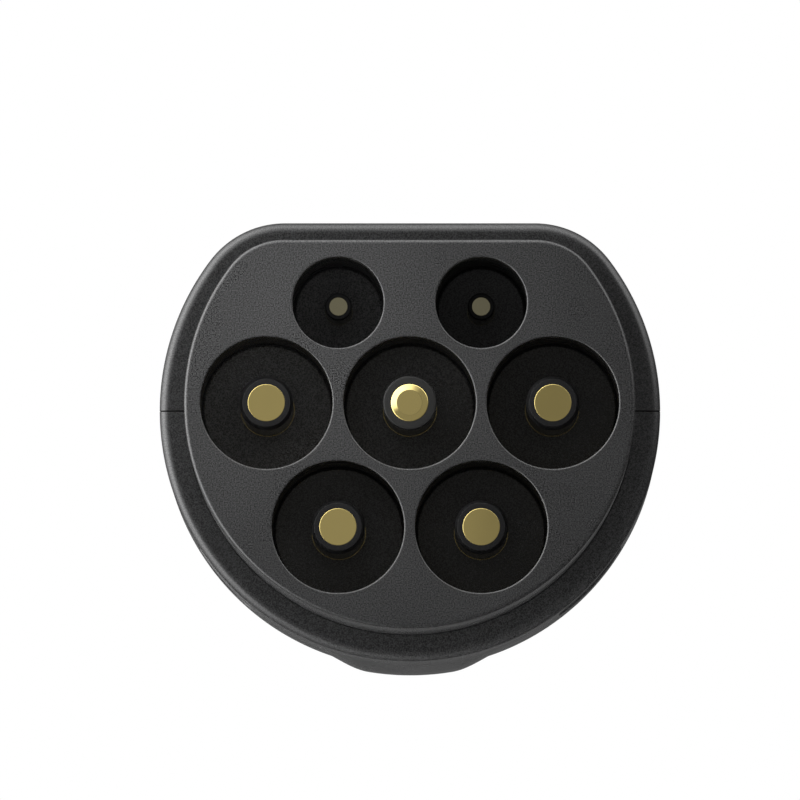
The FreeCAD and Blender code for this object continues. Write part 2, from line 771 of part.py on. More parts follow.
def socket_clamp_plate():
    plate = prism(lobes(-SOCKET_CLAMP_INSET), SOCKET_CLAMP_Y, HUB_Y)
    holes = [
        rod(x, z, SOCKET_CLAMP_Y, HUB_Y, tail_r + BORE_CLEAR)
        for x, z, _, _, tail_r in SOCKETS.values()
    ]
    holes += [
        rod(x, z, SOCKET_CLAMP_Y, HUB_Y, SCREW_R + SCREW_CLEAR) for x, z in SOCKET_SCREWS
    ]
    return plate.cut(holes)


def socket_screws():
    length = SOCKET_CLAMP_THICK + SCREW_BITE
    return Part.makeCompound([
        screw(at(x, z, SOCKET_CLAMP_Y), -ALONG, SCREW_R, length, SCREW_HEAD_R, SCREW_HEAD_HIGH)
        for x, z in SOCKET_SCREWS
    ])


def nose_gasket():
    outer = prism(lobes(NOSE_GASKET_WIDE), RUBBER_CLEAR, NOSE_GASKET_THICK)
    outer = outer.makeFillet(NOSE_GASKET_THICK / 2, front_edges(outer, NOSE_GASKET_THICK))
    return outer.cut(prism(lobes(RUBBER_CLEAR), 0, NOSE_GASKET_THICK))


def conductor(pin_name, socket_name):
    """A copper link from the cup of a pin to the cup of a sleeve."""
    x, z, _ = PINS[pin_name]
    end_x, end_z = SOCKETS[socket_name][:2]
    start = at(x, z, PIN_END_Y - CUP_DEPTH + BORE_CLEAR)
    end = at(end_x, end_z, SOCKET_END_Y + CUP_DEPTH - BORE_CLEAR)
    knee_start = PIN_END_Y + LINK_STRAIGHT
    knee_end = SOCKET_END_Y - LINK_STRAIGHT
    return link(start, end, knee_start, knee_end, LINK_R, LINK_BEND)


def lead(name):
    """A signal lead: it drops from the upper pin to the lower sleeve just behind the pins."""
    x, z, _ = PINS[name]
    end_x, end_z = SOCKETS[name][:2]
    start = at(x, z, PIN_END_Y - CUP_DEPTH + BORE_CLEAR)
    end = at(end_x, end_z, SOCKET_END_Y + CUP_DEPTH - BORE_CLEAR)
    knee_start = PIN_END_Y + LINK_STRAIGHT
    return link(start, end, knee_start, knee_start + LEAD_RUN, LEAD_R, LEAD_BEND)


def coding_board():
    corner = Vec(-BOARD_WIDE / 2, -BOARD_FROM_BACK - BOARD_LONG, BOARD_RISE)
    board = Part.makeBox(BOARD_WIDE, BOARD_LONG, BOARD_THICK, corner)
    top = BOARD_RISE + BOARD_THICK
    return board.cut([boss(0, y, BOARD_RISE, top, PEG_R + PEG_CLEAR) for y in board_pegs()])


def coding_resistors():
    middle_y = -BOARD_FROM_BACK - BOARD_LONG / 2
    parts = []
    for side in (-1, 1):
        corner = Vec(
            side * RESISTOR_X - RESISTOR_WIDE / 2,
            middle_y - RESISTOR_LONG / 2,
            BOARD_RISE + BOARD_THICK,
        )
        parts.append(Part.makeBox(RESISTOR_WIDE, RESISTOR_LONG, RESISTOR_HIGH, corner))
    return Part.makeCompound(parts)


def save(name, shape):
    shape.exportStep(os.path.join("parts", name + ".step"))


os.makedirs("parts", exist_ok=True)

whole_case = case()
save("upper_housing", upper_housing(whole_case))
save("lower_housing", lower_housing(whole_case))
save("housing_screws", housing_screws())
save("inlet_block", inlet_block())
save("inlet_gasket", inlet_gasket())
for name, (x, z, size) in PINS.items():
    save("pin_" + name, pin(x, z, size))
    save("guard_" + name, guard(x, z, size))
    save("seal_" + name, seal(x, z, size))
save("pin_clamp_plate", pin_clamp_plate())
save("clamp_screws", clamp_screws())
save("nose_body", nose_body())
save("nose_gasket", nose_gasket())
for name, (x, z, r, wall, tail_r) in SOCKETS.items():
    save("socket_" + name, socket(x, z, r, wall, tail_r))
for name in ("line", "neutral"):
    x, z, r, wall, _ = SOCKETS[name]
    save("spring_" + name, spring(x, z, r, wall))
save("socket_clamp_plate", socket_clamp_plate())
save("socket_screws", socket_screws())
save("conductor_line", conductor("line_1", "line"))
save("conductor_neutral", conductor("neutral", "neutral"))
save("conductor_earth", conductor("earth", "earth"))
save("lead_pilot", lead("pilot"))
save("lead_proximity", lead("proximity"))
save("coding_board", coding_board())
save("coding_resistors", coding_resistors())
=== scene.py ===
import math

import bmesh
import bpy
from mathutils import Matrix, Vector, geometry


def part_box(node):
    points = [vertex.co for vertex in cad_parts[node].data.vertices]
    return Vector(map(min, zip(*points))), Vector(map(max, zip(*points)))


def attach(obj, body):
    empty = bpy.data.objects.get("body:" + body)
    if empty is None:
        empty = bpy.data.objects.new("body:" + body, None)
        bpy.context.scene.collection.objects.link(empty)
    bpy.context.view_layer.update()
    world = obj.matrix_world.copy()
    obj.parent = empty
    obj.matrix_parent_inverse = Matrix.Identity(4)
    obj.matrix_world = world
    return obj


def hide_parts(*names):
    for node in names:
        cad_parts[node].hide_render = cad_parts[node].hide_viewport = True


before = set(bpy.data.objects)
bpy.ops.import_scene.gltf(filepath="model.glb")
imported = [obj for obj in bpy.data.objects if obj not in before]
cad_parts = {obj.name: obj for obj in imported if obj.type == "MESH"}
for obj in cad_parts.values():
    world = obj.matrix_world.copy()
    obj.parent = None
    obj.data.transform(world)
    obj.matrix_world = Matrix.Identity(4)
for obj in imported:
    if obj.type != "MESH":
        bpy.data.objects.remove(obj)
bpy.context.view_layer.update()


# Inlet block, the D-shaped insulator that the cable's hood slides over. It is one moulding of
# glass-filled nylon, with seven wells from the front and stepped bores behind them. Its
# face has a fine spark-eroded grain, and its front edge and the mouths of its wells are eased.
MM = 0.001
BLOCK_R = 25.2 * MM
BLOCK_FLAT = 18.2 * MM
BLOCK_CORNER_R = 7.5 * MM
BLOCK_EDGE = 0.42 * MM
FLANGE_WIDE = 1.2 * MM
FLANGE_THICK = 2.5 * MM
SUPPORT = 0.05 * MM
SAME_POINT = 1e-8
SHARP_ANGLE = math.radians(32)
FACE_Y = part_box("inlet_block")[0].y
BLOCK_BACK_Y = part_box("inlet_block")[1].y
RIM_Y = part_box("upper_housing")[0].y
WELL_R = 7.38 * MM
WELL_DEPTH = 31.0 * MM
SIGNAL_WELL_R = 5.08 * MM
SIGNAL_WELL_DEPTH = 38.0 * MM
WELL_EDGE = 0.20 * MM
FLOOR_ROUND = 0.35 * MM
LIP_THICK = 0.7 * MM
LIP_CLEAR = 0.03 * MM
BORE_CLEAR = 0.1 * MM
COLLAR_THICK = 2.5 * MM
PIN_R = 3.0 * MM
PIN_SEAT_R = 3.25 * MM
PIN_COLLAR_R = 3.9 * MM
SIGNAL_R = 1.5 * MM
SIGNAL_SEAT_R = 1.8 * MM
SIGNAL_COLLAR_R = 2.5 * MM
GROOVE_FROM_RIM = 0.9 * MM
GROOVE_WIDE = 1.8 * MM
GROOVE_DEEP = 1.0 * MM
CLAMP_SCREW_X = 15.4 * MM
CLAMP_SCREW_RISE = 9.2 * MM
CLAMP_SCREW_DROP = 10.6 * MM
SCREW_HOLE_R = 1.28 * MM
SCREW_HOLE_DEEP = 7.8 * MM
RING_R = 16.0 * MM
SIGNAL_X = 8.0 * MM
SIGNAL_RISE = 11.2 * MM
SIGNAL_RING_R = math.hypot(SIGNAL_X, SIGNAL_RISE)
SIGNAL_ANGLE = math.atan2(SIGNAL_RISE, SIGNAL_X)
WELL_STEPS = 112
ROUND_STEPS = 216
CORNER_STEPS = 20
TOP_STEPS = 8
HOLE_STEPS = 32
GRAIN = 0.15 * MM
GRAIN_DEPTH = 0.006 * MM
GLOSS = 0.5
NOISE_LOW = 0.35
NOISE_HIGH = 0.65
TONE_LOW = 0.38
TONE_HIGH = 0.62


def arc_points(x, z, r, start, end, steps):
    turn = (end - start) / steps
    return [
        (x + r * math.cos(start + i * turn), z + r * math.sin(start + i * turn))
        for i in range(steps)
    ]


def dee(grow, steps=ROUND_STEPS, more_turns=()):
    """The flat-topped round outline, grown outwards, as points anticlockwise from the front."""
    centre_z = BLOCK_FLAT - BLOCK_CORNER_R
    reach = BLOCK_R - BLOCK_CORNER_R
    centre_x = math.sqrt(reach**2 - centre_z**2)
    lean = math.atan2(centre_z, centre_x)
    corner = BLOCK_CORNER_R + grow
    half = math.pi / 2
    points = arc_points(centre_x, centre_z, corner, lean, half, CORNER_STEPS)
    for i in range(TOP_STEPS):
        points.append((centre_x * (1 - 2 * i / TOP_STEPS), BLOCK_FLAT + grow))
    points += arc_points(-centre_x, centre_z, corner, half, math.pi - lean, CORNER_STEPS)
    first = math.pi - lean
    sweep = math.pi + 2 * lean
    turns = [first + sweep * i / steps for i in range(steps)]
    turns += [turn % (2 * math.pi) for turn in more_turns]
    round_r = BLOCK_R + grow
    points += [(round_r * math.cos(turn), round_r * math.sin(turn)) for turn in sorted(turns)]
    return points


def loop_at(bm, points, y):
    return [bm.verts.new((x, y, z)) for x, z in points]


def round_loop(bm, x, z, r, y, steps):
    return loop_at(bm, arc_points(x, z, r, 0, 2 * math.pi, steps), y)


def bridge(bm, loops, closed=True):
    """Quads between each loop and the next, or triangles where a loop is one point."""
    for one, two in zip(loops, loops[1:]):
        count = len(one)
        for i in range(count if closed else count - 1):
            j = (i + 1) % count
            bm.faces.new(tuple(dict.fromkeys((one[i], one[j], two[j], two[i]))))


def fill(bm, verts, edges, wanted):
    """Triangles between edges that lie in a plane square to Y, as far as they are wanted."""
    flat = [Vector((v.co.x, v.co.z)) for v in verts]
    found = geometry.delaunay_2d_cdt(flat, edges, [], 0, SAME_POINT)
    for face in found[2]:
        ids = [found[3][i][0] for i in face]
        if wanted(ids):
            bm.faces.new([verts[i] for i in ids])


def plate(bm, outer, holes):
    """A flat face across the outer loop, open at the holes."""
    loops = [outer] + holes
    verts = [v for loop in loops for v in loop]
    owner = [i for i, loop in enumerate(loops) for _ in loop]
    edges = []
    first = 0
    for loop in loops:
        edges += [(first + i, first + (i + 1) % len(loop)) for i in range(len(loop))]
        first += len(loop)

    def outside_holes(ids):
        owners = {owner[i] for i in ids}
        return len(owners) > 1 or 0 in owners

    fill(bm, verts, edges, outside_holes)


def closed_mesh(bm):
    bmesh.ops.remove_doubles(bm, verts=bm.verts, dist=SAME_POINT)
    bmesh.ops.recalc_face_normals(bm, faces=bm.faces)
    mesh = bpy.data.meshes.new("closed")
    bm.to_mesh(mesh)
    bm.free()
    return mesh


def place_mesh(mesh, name, material, nodes):
    """The mesh becomes a shaded piece on the one body, in place of the CAD nodes it stands for."""
    mesh.name = name
    for polygon in mesh.polygons:
        polygon.use_smooth = True
    mesh.set_sharp_from_angle(angle=SHARP_ANGLE)
    mesh.materials.clear()
    mesh.materials.append(material)
    piece = bpy.data.objects.new(name, mesh)
    bpy.context.scene.collection.objects.link(piece)
    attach(piece, "root")
    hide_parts(*nodes)


def new_material(name):
    material = bpy.data.materials.new(name)
    material.use_nodes = True
    tree = material.node_tree
    return material, tree, tree.nodes["Principled BSDF"]


def feed(tree, node, inputs):
    """Gives each named input a number or a colour, or links it to another node's output."""
    for name, value in inputs.items():
        if isinstance(value, bpy.types.NodeSocket):
            tree.links.new(value, node.inputs[name])
        else:
            node.inputs[name].default_value = value


def add_node(tree, kind, inputs):
    node = tree.nodes.new(kind)
    feed(tree, node, inputs)
    return node


def noise(tree, scale, detail=2.0, roughness=0.5):
    """Solid noise in the part's own coordinates; scale is in features a metre."""
    place = tree.nodes.new("ShaderNodeTexCoord").outputs["Object"]
    return add_node(tree, "ShaderNodeTexNoise", {
        "Scale": scale, "Detail": detail, "Roughness": roughness, "Vector": place,
    }).outputs["Fac"]


def spread(tree, value, low, high, at_low=NOISE_LOW, at_high=NOISE_HIGH):
    """A value mapped to a range of numbers, from the range that noise mostly fills or another."""
    return add_node(tree, "ShaderNodeMapRange", {
        "Value": value, "From Min": at_low, "From Max": at_high, "To Min": low, "To Max": high,
    }).outputs["Result"]


def ramp(tree, value, stops):
    """A value from 0 to 1 mapped to colours, blended between (position, colour) stops."""
    node = add_node(tree, "ShaderNodeValToRGB", {"Fac": value})
    marks = node.color_ramp.elements
    while len(marks) < len(stops):
        marks.new(1.0)
    for mark, (position, colour) in zip(marks, stops):
        mark.position = position
        mark.color = (*colour, 1)
    return node.outputs["Color"]


def bump(tree, height, depth):
    return add_node(tree, "ShaderNodeBump", {"Distance": depth, "Height": height}).outputs[0]


def calculate(tree, operation, *values):
    node = tree.nodes.new("ShaderNodeMath")
    node.operation = operation
    feed(tree, node, dict(enumerate(values)))
    return node.outputs[0]


def squareness(tree):
    """1 on faces square to the part's axis, 0 on walls along it."""
    normal = tree.nodes.new("ShaderNodeTexCoord").outputs["Normal"]
    split = add_node(tree, "ShaderNodeSeparateXYZ", {0: normal})
    return spread(tree, calculate(tree, "ABSOLUTE", split.outputs["Y"]), 0.0, 1.0, 0.25, 0.70)


def moulded_plastic(name, dark, light, rough, grain, grain_depth, gloss=GLOSS, wall_rough=None):
    """Moulded plastic: a fine eroded grain, slightly uneven colour and sheen.

    Where wall_rough is given, the grain is only on faces, and walls are smooth from the mould.
    """
    material, tree, shader = new_material(name)
    fine = noise(tree, 1 / grain, 3.0, 0.65)
    uneven = spread(tree, noise(tree, 90.0), -0.03, 0.04)
    normal = bump(tree, fine, grain_depth)
    if wall_rough is not None:
        square = squareness(tree)
        feed(tree, normal.node, {"Strength": square})
        gain = calculate(tree, "MULTIPLY", square, rough - wall_rough)
        rough = calculate(tree, "ADD", gain, wall_rough)
    feed(tree, shader, {
        "Base Color": ramp(tree, fine, [(TONE_LOW, dark), (TONE_HIGH, light)]),
        "Roughness": calculate(tree, "ADD", uneven, rough),
        "Normal": normal,
        "Specular IOR Level": gloss,
    })
    return material


def well_positions():
    """Every well as (x, z, is a power well)."""
    spots = [(0.0, 0.0, True)]
    for turn in (0, 60, 120, 180):
        angle = math.radians(-turn)
        spots.append((RING_R * math.cos(angle), RING_R * math.sin(angle), True))
    for side in (-1, 1):
        spots.append((side * SIGNAL_X, SIGNAL_RISE, False))
    return spots


def quarter(r, steps=5):
    """Points of a quarter round as (inset, depth), from the face to the wall."""
    turns = [math.pi / 2 * i / steps for i in range(steps + 1)]
    return [(r - r * math.sin(a), r - r * math.cos(a)) for a in turns]


def crown(wide, steepest, steps=8):
    """Points of a round that stops at a slope, as (inset, depth), from the face outwards."""
    r = wide / math.sin(steepest)
    turns = [steepest * i / steps for i in range(steps + 1)]
    return [(wide - r * math.sin(a), r - r * math.cos(a)) for a in turns]


def bevel(wide, slope, soft):
    """Points of a flat bevel with softened ends, as (inset, depth), from the face outwards."""
    fall = math.tan(slope)
    return [
        (wide, 0.0),
        (wide - soft, soft * fall),
        (2 * soft, (wide - 2 * soft) * fall),
        (soft, (wide - soft) * fall),
        (0.4 * soft, (wide - soft) * fall + 0.5 * soft),
        (0.0, (wide - soft) * fall + 1.3 * soft),
    ]


def well_loops(bm, x, z, power):
    """One well from its mouth to the block's back, as loops; the first and last are on faces."""
    mouth = WELL_R if power else SIGNAL_WELL_R
    depth = WELL_DEPTH if power else SIGNAL_WELL_DEPTH
    lip = (PIN_R if power else SIGNAL_R) + LIP_CLEAR
    bore = (PIN_SEAT_R if power else SIGNAL_SEAT_R) + BORE_CLEAR
    collar = (PIN_COLLAR_R if power else SIGNAL_COLLAR_R) + BORE_CLEAR
    profile = [(mouth + WELL_EDGE + SUPPORT, 0.0)]
    profile += [(mouth + inset, deep) for inset, deep in quarter(WELL_EDGE)]
    profile += [(mouth, depth / 2)]
    profile += [(mouth - inset, depth - deep) for inset, deep in reversed(quarter(FLOOR_ROUND))]
    collar_y = BLOCK_BACK_Y - COLLAR_THICK - FACE_Y
    back = BLOCK_BACK_Y - FACE_Y
    profile += [(lip, depth), (lip, depth + LIP_THICK), (bore, depth + LIP_THICK)]
    profile += [(bore, collar_y), (collar, collar_y), (collar, back)]
    return [round_loop(bm, x, z, r, FACE_Y + deep, WELL_STEPS) for r, deep in profile]


def blind_hole(bm, x, z, r, mouth_y, end_y):
    """A flat-ended round hole; the loop of its mouth is returned."""
    mouth = round_loop(bm, x, z, r, mouth_y, HOLE_STEPS)
    end = round_loop(bm, x, z, r, end_y, HOLE_STEPS)
    bridge(bm, [mouth, end])
    bm.faces.new(end)
    return mouth


block = bmesh.new()
block_rounds = quarter(BLOCK_EDGE)
block_profile = [(-BLOCK_EDGE - SUPPORT, FACE_Y)]
block_profile += [(-inset, FACE_Y + deep) for inset, deep in block_rounds]
block_profile += [
    (0.0, RIM_Y + GROOVE_FROM_RIM),
    (-GROOVE_DEEP, RIM_Y + GROOVE_FROM_RIM),
    (-GROOVE_DEEP, RIM_Y + GROOVE_FROM_RIM + GROOVE_WIDE),
    (0.0, RIM_Y + GROOVE_FROM_RIM + GROOVE_WIDE),
    (0.0, BLOCK_BACK_Y - FLANGE_THICK),
    (FLANGE_WIDE, BLOCK_BACK_Y - FLANGE_THICK),
    (FLANGE_WIDE, BLOCK_BACK_Y),
]
block_loops = [loop_at(block, dee(grow), y) for grow, y in block_profile]
bridge(block, block_loops)
wells = [well_loops(block, x, z, power) for x, z, power in well_positions()]
for loops in wells:
    bridge(block, loops)
screw_holes = [
    blind_hole(block, x, z, SCREW_HOLE_R, BLOCK_BACK_Y, BLOCK_BACK_Y - SCREW_HOLE_DEEP)
    for x in (-CLAMP_SCREW_X, CLAMP_SCREW_X)
    for z in (CLAMP_SCREW_RISE, -CLAMP_SCREW_DROP)
]
plate(block, block_loops[0], [loops[0] for loops in wells])
plate(block, block_loops[-1], [loops[-1] for loops in wells] + screw_holes)
block_plastic = moulded_plastic(
    "block_plastic", (0.002, 0.002, 0.0021), (0.080, 0.080, 0.081),
    0.29, GRAIN, GRAIN_DEPTH, wall_rough=0.24,
)
place_mesh(
    closed_mesh(block), "inlet_block_moulding", block_plastic, ["inlet_block"]
)


# Power pins, turned from brass and gold-plated, 6 mm thick. Each is pressed into its bore from
# behind up to its collar. The earth pin reaches the block's face so that it connects first, and
# has a slight bevel round its nose; the other four stop a little short.
NOSE_R = 2.09 * MM
SHOULDER_SLOPE = math.radians(42)
EARTH_BEVEL_SLOPE = math.radians(16)
TIP_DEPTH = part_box("pin_line_1")[0].y - FACE_Y
EARTH_TIP_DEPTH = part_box("pin_earth")[0].y - FACE_Y
PIN_END_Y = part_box("pin_line_1")[1].y
GUARD_LENGTH = 3.2 * MM
PIN_TAIL_R = 2.5 * MM
SEAL_FROM_BACK = 2.9 * MM
SEAL_WIDE = 1.2 * MM
PIN_GROOVE_R = 2.5 * MM
CUP_WALL = 0.7 * MM
CUP_DEPTH = 4.0 * MM
NECK_DEEP = 0.2 * MM
LATHE_STEPS = 96
EARTH_BEVEL = 0.68 * MM
EARTH_SOFT = 0.05 * MM
NOSE_CROWN = 0.09 * MM
POWER_ROW = (4, RING_R, 0, -60)


def turned(profile, ring=False, steps=LATHE_STEPS):
    """A mesh turned about the Y axis from (radius, y) points; a ring's profile closes on itself."""
    bm = bmesh.new()
    loops = []
    for r, y in profile:
        if r > 0:
            loops.append(round_loop(bm, 0, 0, r, y, steps))
        else:
            loops.append([bm.verts.new((0, y, 0))] * steps)
    bridge(bm, loops + loops[:1] if ring else loops)
    return closed_mesh(bm)


def pin_profile(nose_r, r, seat_r, groove_r, collar_r, tail_r, tip_y, well_y, nose_edge):
    """From the middle of the nose to the bottom of the cup for the conductor."""
    cup_r = tail_r - CUP_WALL
    seal_y = BLOCK_BACK_Y - SEAL_FROM_BACK
    profile = [(0.0, tip_y), (nose_r - nose_edge[0][0] - SUPPORT, tip_y)]
    profile += [(nose_r - inset, tip_y + deep) for inset, deep in nose_edge]
    return profile + [
        (nose_r, tip_y + GUARD_LENGTH),
        (r, tip_y + GUARD_LENGTH),
        (r, well_y),
        (r - NECK_DEEP, well_y),
        (r - NECK_DEEP, well_y + LIP_THICK),
        (seat_r, well_y + LIP_THICK),
        (seat_r, seal_y - SEAL_WIDE),
        (groove_r, seal_y - SEAL_WIDE),
        (groove_r, seal_y),
        (seat_r, seal_y),
        (seat_r, BLOCK_BACK_Y - COLLAR_THICK),
        (collar_r, BLOCK_BACK_Y - COLLAR_THICK),
        (collar_r, BLOCK_BACK_Y),
        (tail_r, BLOCK_BACK_Y),
        (tail_r, PIN_END_Y),
        (cup_r, PIN_END_Y),
        (cup_r, PIN_END_Y - CUP_DEPTH),
        (0.0, PIN_END_Y - CUP_DEPTH),
    ]


def new_tree(name, kinds):
    """A tree that gives back geometry, and its named inputs, which are listed by socket type."""
    tree = bpy.data.node_groups.new(name, "GeometryNodeTree")
    sockets = tree.interface
    sockets.new_socket("Geometry", in_out="OUTPUT", socket_type="NodeSocketGeometry")
    for kind, labels in kinds.items():
        for label in labels:
            sockets.new_socket(label, in_out="INPUT", socket_type="NodeSocket" + kind)
    return tree, tree.nodes.new("NodeGroupInput").outputs


def vector(tree, **axes):
    return add_node(tree, "ShaderNodeCombineXYZ", axes).outputs[0]


def object_geometry(tree, socket):
    return add_node(tree, "GeometryNodeObjectInfo", {"Object": socket}).outputs["Geometry"]


def at_places(tree, places, piece):
    copies = add_node(tree, "GeometryNodeInstanceOnPoints", {"Points": places, "Instance": piece})
    return add_node(tree, "GeometryNodeRealizeInstances", {0: copies.outputs[0]}).outputs[0]


def end_tree(tree, material_socket, geometry_socket):
    """Every tree ends in real geometry with its material."""
    real = add_node(tree, "GeometryNodeRealizeInstances", {0: geometry_socket})
    finish = add_node(tree, "GeometryNodeSetMaterial", {
        "Geometry": real.outputs[0], "Material": material_socket,
    })
    add_node(tree, "NodeGroupOutput", {0: finish.outputs[0]})


def round_row_tree():
    """Copies of one piece set round the axis, from an angle and a step."""
    tree, given = new_tree("round_row", {
        "Object": ["Piece"],
        "Int": ["Count"],
        "Float": ["Radius", "First angle", "Angle step"],
        "Material": ["Material"],
    })
    index = tree.nodes.new("GeometryNodeInputIndex").outputs[0]
    angle = calculate(tree, "MULTIPLY_ADD", index, given["Angle step"], given["First angle"])
    across = calculate(tree, "MULTIPLY", calculate(tree, "COSINE", angle), given["Radius"])
    up = calculate(tree, "MULTIPLY", calculate(tree, "SINE", angle), given["Radius"])
    points = add_node(tree, "GeometryNodePoints", {
        "Count": given["Count"], "Position": vector(tree, X=across, Z=up),
    })
    piece = object_geometry(tree, given["Piece"])
    end_tree(tree, given["Material"], at_places(tree, points.outputs[0], piece))
    return tree


def grown_mesh(tree, values, helpers):
    """What a tree makes, as a plain mesh; the carrier and the helper objects are removed."""
    carrier = bpy.data.objects.new("carrier", bpy.data.meshes.new("carrier"))
    bpy.context.scene.collection.objects.link(carrier)
    modifier = carrier.modifiers.new("tree", "NODES")
    modifier.node_group = tree
    for item in tree.interface.items_tree:
        if item.in_out == "INPUT":
            modifier[item.identifier] = values[item.name]
    bpy.context.view_layer.update()
    graph = bpy.context.evaluated_depsgraph_get()
    mesh = bpy.data.meshes.new_from_object(carrier.evaluated_get(graph))
    carrier.modifiers.remove(modifier)
    bpy.data.objects.remove(carrier)
    for helper in helpers:
        bpy.data.objects.remove(helper)
    return mesh


def helper_object(mesh):
    helper = bpy.data.objects.new("helper", mesh)
    bpy.context.scene.collection.objects.link(helper)
    return helper


def round_row(mesh, name, material, nodes, slot, count, radius, first, step):
    """The turned piece, repeated round the axis as one piece of the part; angles in degrees."""
    helper = helper_object(mesh)
    grown = grown_mesh(row_tree, {
        "Piece": helper,
        "Count": count,
        "Radius": radius,
        "First angle": math.radians(first),
        "Angle step": math.radians(step),
        "Material": material,
    }, [helper])
    place_mesh(grown, name, material, nodes)


def metal(name, colour, cloud, shade, smoothest, roughest):
    """Metal whose colour and sheen vary with a cloudy noise of a given scale and detail."""
    material, tree, shader = new_material(name)
    patches = noise(tree, *cloud)
    darker = tuple(shade * c for c in colour)
    feed(tree, shader, {
        "Base Color": ramp(tree, patches, [(NOISE_LOW, darker), (NOISE_HIGH, colour)]),
        "Roughness": spread(tree, patches, smoothest, roughest),
        "Metallic": 1.0,
    })
    return material, tree, shader


def gold_plate(name, colour, rough):
    """Gold over nickel: fine turning marks, which soften what it mirrors."""
    material, tree, shader = metal(name, colour, (420.0,), 0.985, rough - 0.005, rough + 0.01)
    marks = noise(tree, 5200.0, 2.0, 0.6)
    feed(tree, shader, {"Normal": bump(tree, marks, 0.0002 * MM)})
    return material


row_tree = round_row_tree()
gold = gold_plate("gold_plate", (0.80, 0.645, 0.245), 0.13)
power_pin = turned(pin_profile(
    NOSE_R, PIN_R, PIN_SEAT_R, PIN_GROOVE_R, PIN_COLLAR_R, PIN_TAIL_R, FACE_Y + TIP_DEPTH,
    FACE_Y + WELL_DEPTH, crown(NOSE_CROWN, SHOULDER_SLOPE),
))
round_row(
    power_pin, "power_pins", gold, ["pin_line_1", "pin_line_2", "pin_line_3", "pin_neutral"],
    "gold_plate", *POWER_ROW,
)
earth_pin = turned(pin_profile(
    NOSE_R, PIN_R, PIN_SEAT_R, PIN_GROOVE_R, PIN_COLLAR_R, PIN_TAIL_R,
    FACE_Y + EARTH_TIP_DEPTH, FACE_Y + WELL_DEPTH,
    bevel(EARTH_BEVEL, EARTH_BEVEL_SLOPE, EARTH_SOFT),
))
place_mesh(earth_pin, "earth_pin", gold, ["pin_earth"])


# Signal pins, the two slimmer contacts above. They are turned and plated like the others, 3 mm
# thick, and stand far back in their wells so that they connect last.
SIGNAL_NOSE_R = 1.07 * MM
SIGNAL_GROOVE_R = 1.2 * MM
SIGNAL_TAIL_R = 1.75 * MM
SIGNAL_TIP_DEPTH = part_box("pin_pilot")[0].y - FACE_Y
SIGNAL_CROWN = 0.08 * MM
SIGNAL_FIRST = math.degrees(SIGNAL_ANGLE)
SIGNAL_ROW = (2, SIGNAL_RING_R, SIGNAL_FIRST, 180 - 2 * SIGNAL_FIRST)

signal_pin = turned(pin_profile(
    SIGNAL_NOSE_R, SIGNAL_R, SIGNAL_SEAT_R, SIGNAL_GROOVE_R, SIGNAL_COLLAR_R, SIGNAL_TAIL_R,
    FACE_Y + SIGNAL_TIP_DEPTH, FACE_Y + SIGNAL_WELL_DEPTH, crown(SIGNAL_CROWN, SHOULDER_SLOPE),
))
# Their gold is painted darker and greyer than the power pins', as painted shade of their deep
# wells.
signal_gold = gold_plate("signal_gold", (0.40, 0.365, 0.235), 0.22)
round_row(
    signal_pin, "signal_pins", signal_gold, ["pin_pilot", "pin_proximity"], "gold_plate",
    *SIGNAL_ROW,
)


# Guard collars, dark insulating sleeves pressed over the turned-down noses of the pins. They
# keep a finger off live metal. Those of the outer power pins taper towards the tip.
GUARD_TAPER = 0.32 * MM
GUARD_TAPER_LENGTH = 1.3 * MM
GUARD_EDGE = 0.06 * MM
SIGNAL_GUARD_EDGE = 0.15 * MM
EARTH_GUARD_EDGE = 0.25 * MM
EARTH_GUARD_BACK = 0.3 * MM
GUARD_OVERLAP = 0.01 * MM
GUARD_GRAIN = 0.12 * MM
GUARD_GRAIN_DEPTH = 0.003 * MM


def guard_profile(nose_r, r, tip_y, taper, edge, back=0.0):
    inner = nose_r - GUARD_OVERLAP
    front = r - taper
    front_y = tip_y + back
    profile = [(inner, tip_y + GUARD_LENGTH), (inner, front_y)]
    profile += [(front - inset, front_y + deep) for inset, deep in quarter(edge)]
    profile += [(r, tip_y + GUARD_TAPER_LENGTH), (r, tip_y + GUARD_LENGTH)]
    return profile


guard_plastic = moulded_plastic(
    "guard_plastic", (0.010, 0.010, 0.0102), (0.014, 0.014, 0.0144),
    0.42, GUARD_GRAIN, GUARD_GRAIN_DEPTH, 0.15,
)
# The earth collar is painted lighter than the other collars, as painted light where it stands
# forward at the face.
earth_guard_plastic = moulded_plastic(
    "earth_guard_plastic", (0.026, 0.026, 0.0255), (0.032, 0.032, 0.0315),
    0.40, GUARD_GRAIN, GUARD_GRAIN_DEPTH, 0.12,
)
round_row(
    turned(guard_profile(NOSE_R, PIN_R, FACE_Y + TIP_DEPTH, GUARD_TAPER, GUARD_EDGE), True),
    "power_guards", guard_plastic,
    ["guard_line_1", "guard_line_2", "guard_line_3", "guard_neutral"],
    "guard_plastic", *POWER_ROW,
)
earth_guard = guard_profile(
    NOSE_R, PIN_R, FACE_Y + EARTH_TIP_DEPTH, 0.0, EARTH_GUARD_EDGE, EARTH_GUARD_BACK
)
place_mesh(
    turned(earth_guard, True), "earth_guard", earth_guard_plastic, ["guard_earth"],
)
signal_guard = guard_profile(
    SIGNAL_NOSE_R, SIGNAL_R, FACE_Y + SIGNAL_TIP_DEPTH, 0.0, SIGNAL_GUARD_EDGE
)
round_row(
    turned(signal_guard, True), "signal_guards", guard_plastic,
    ["guard_pilot", "guard_proximity"], "guard_plastic", *SIGNAL_ROW,
)


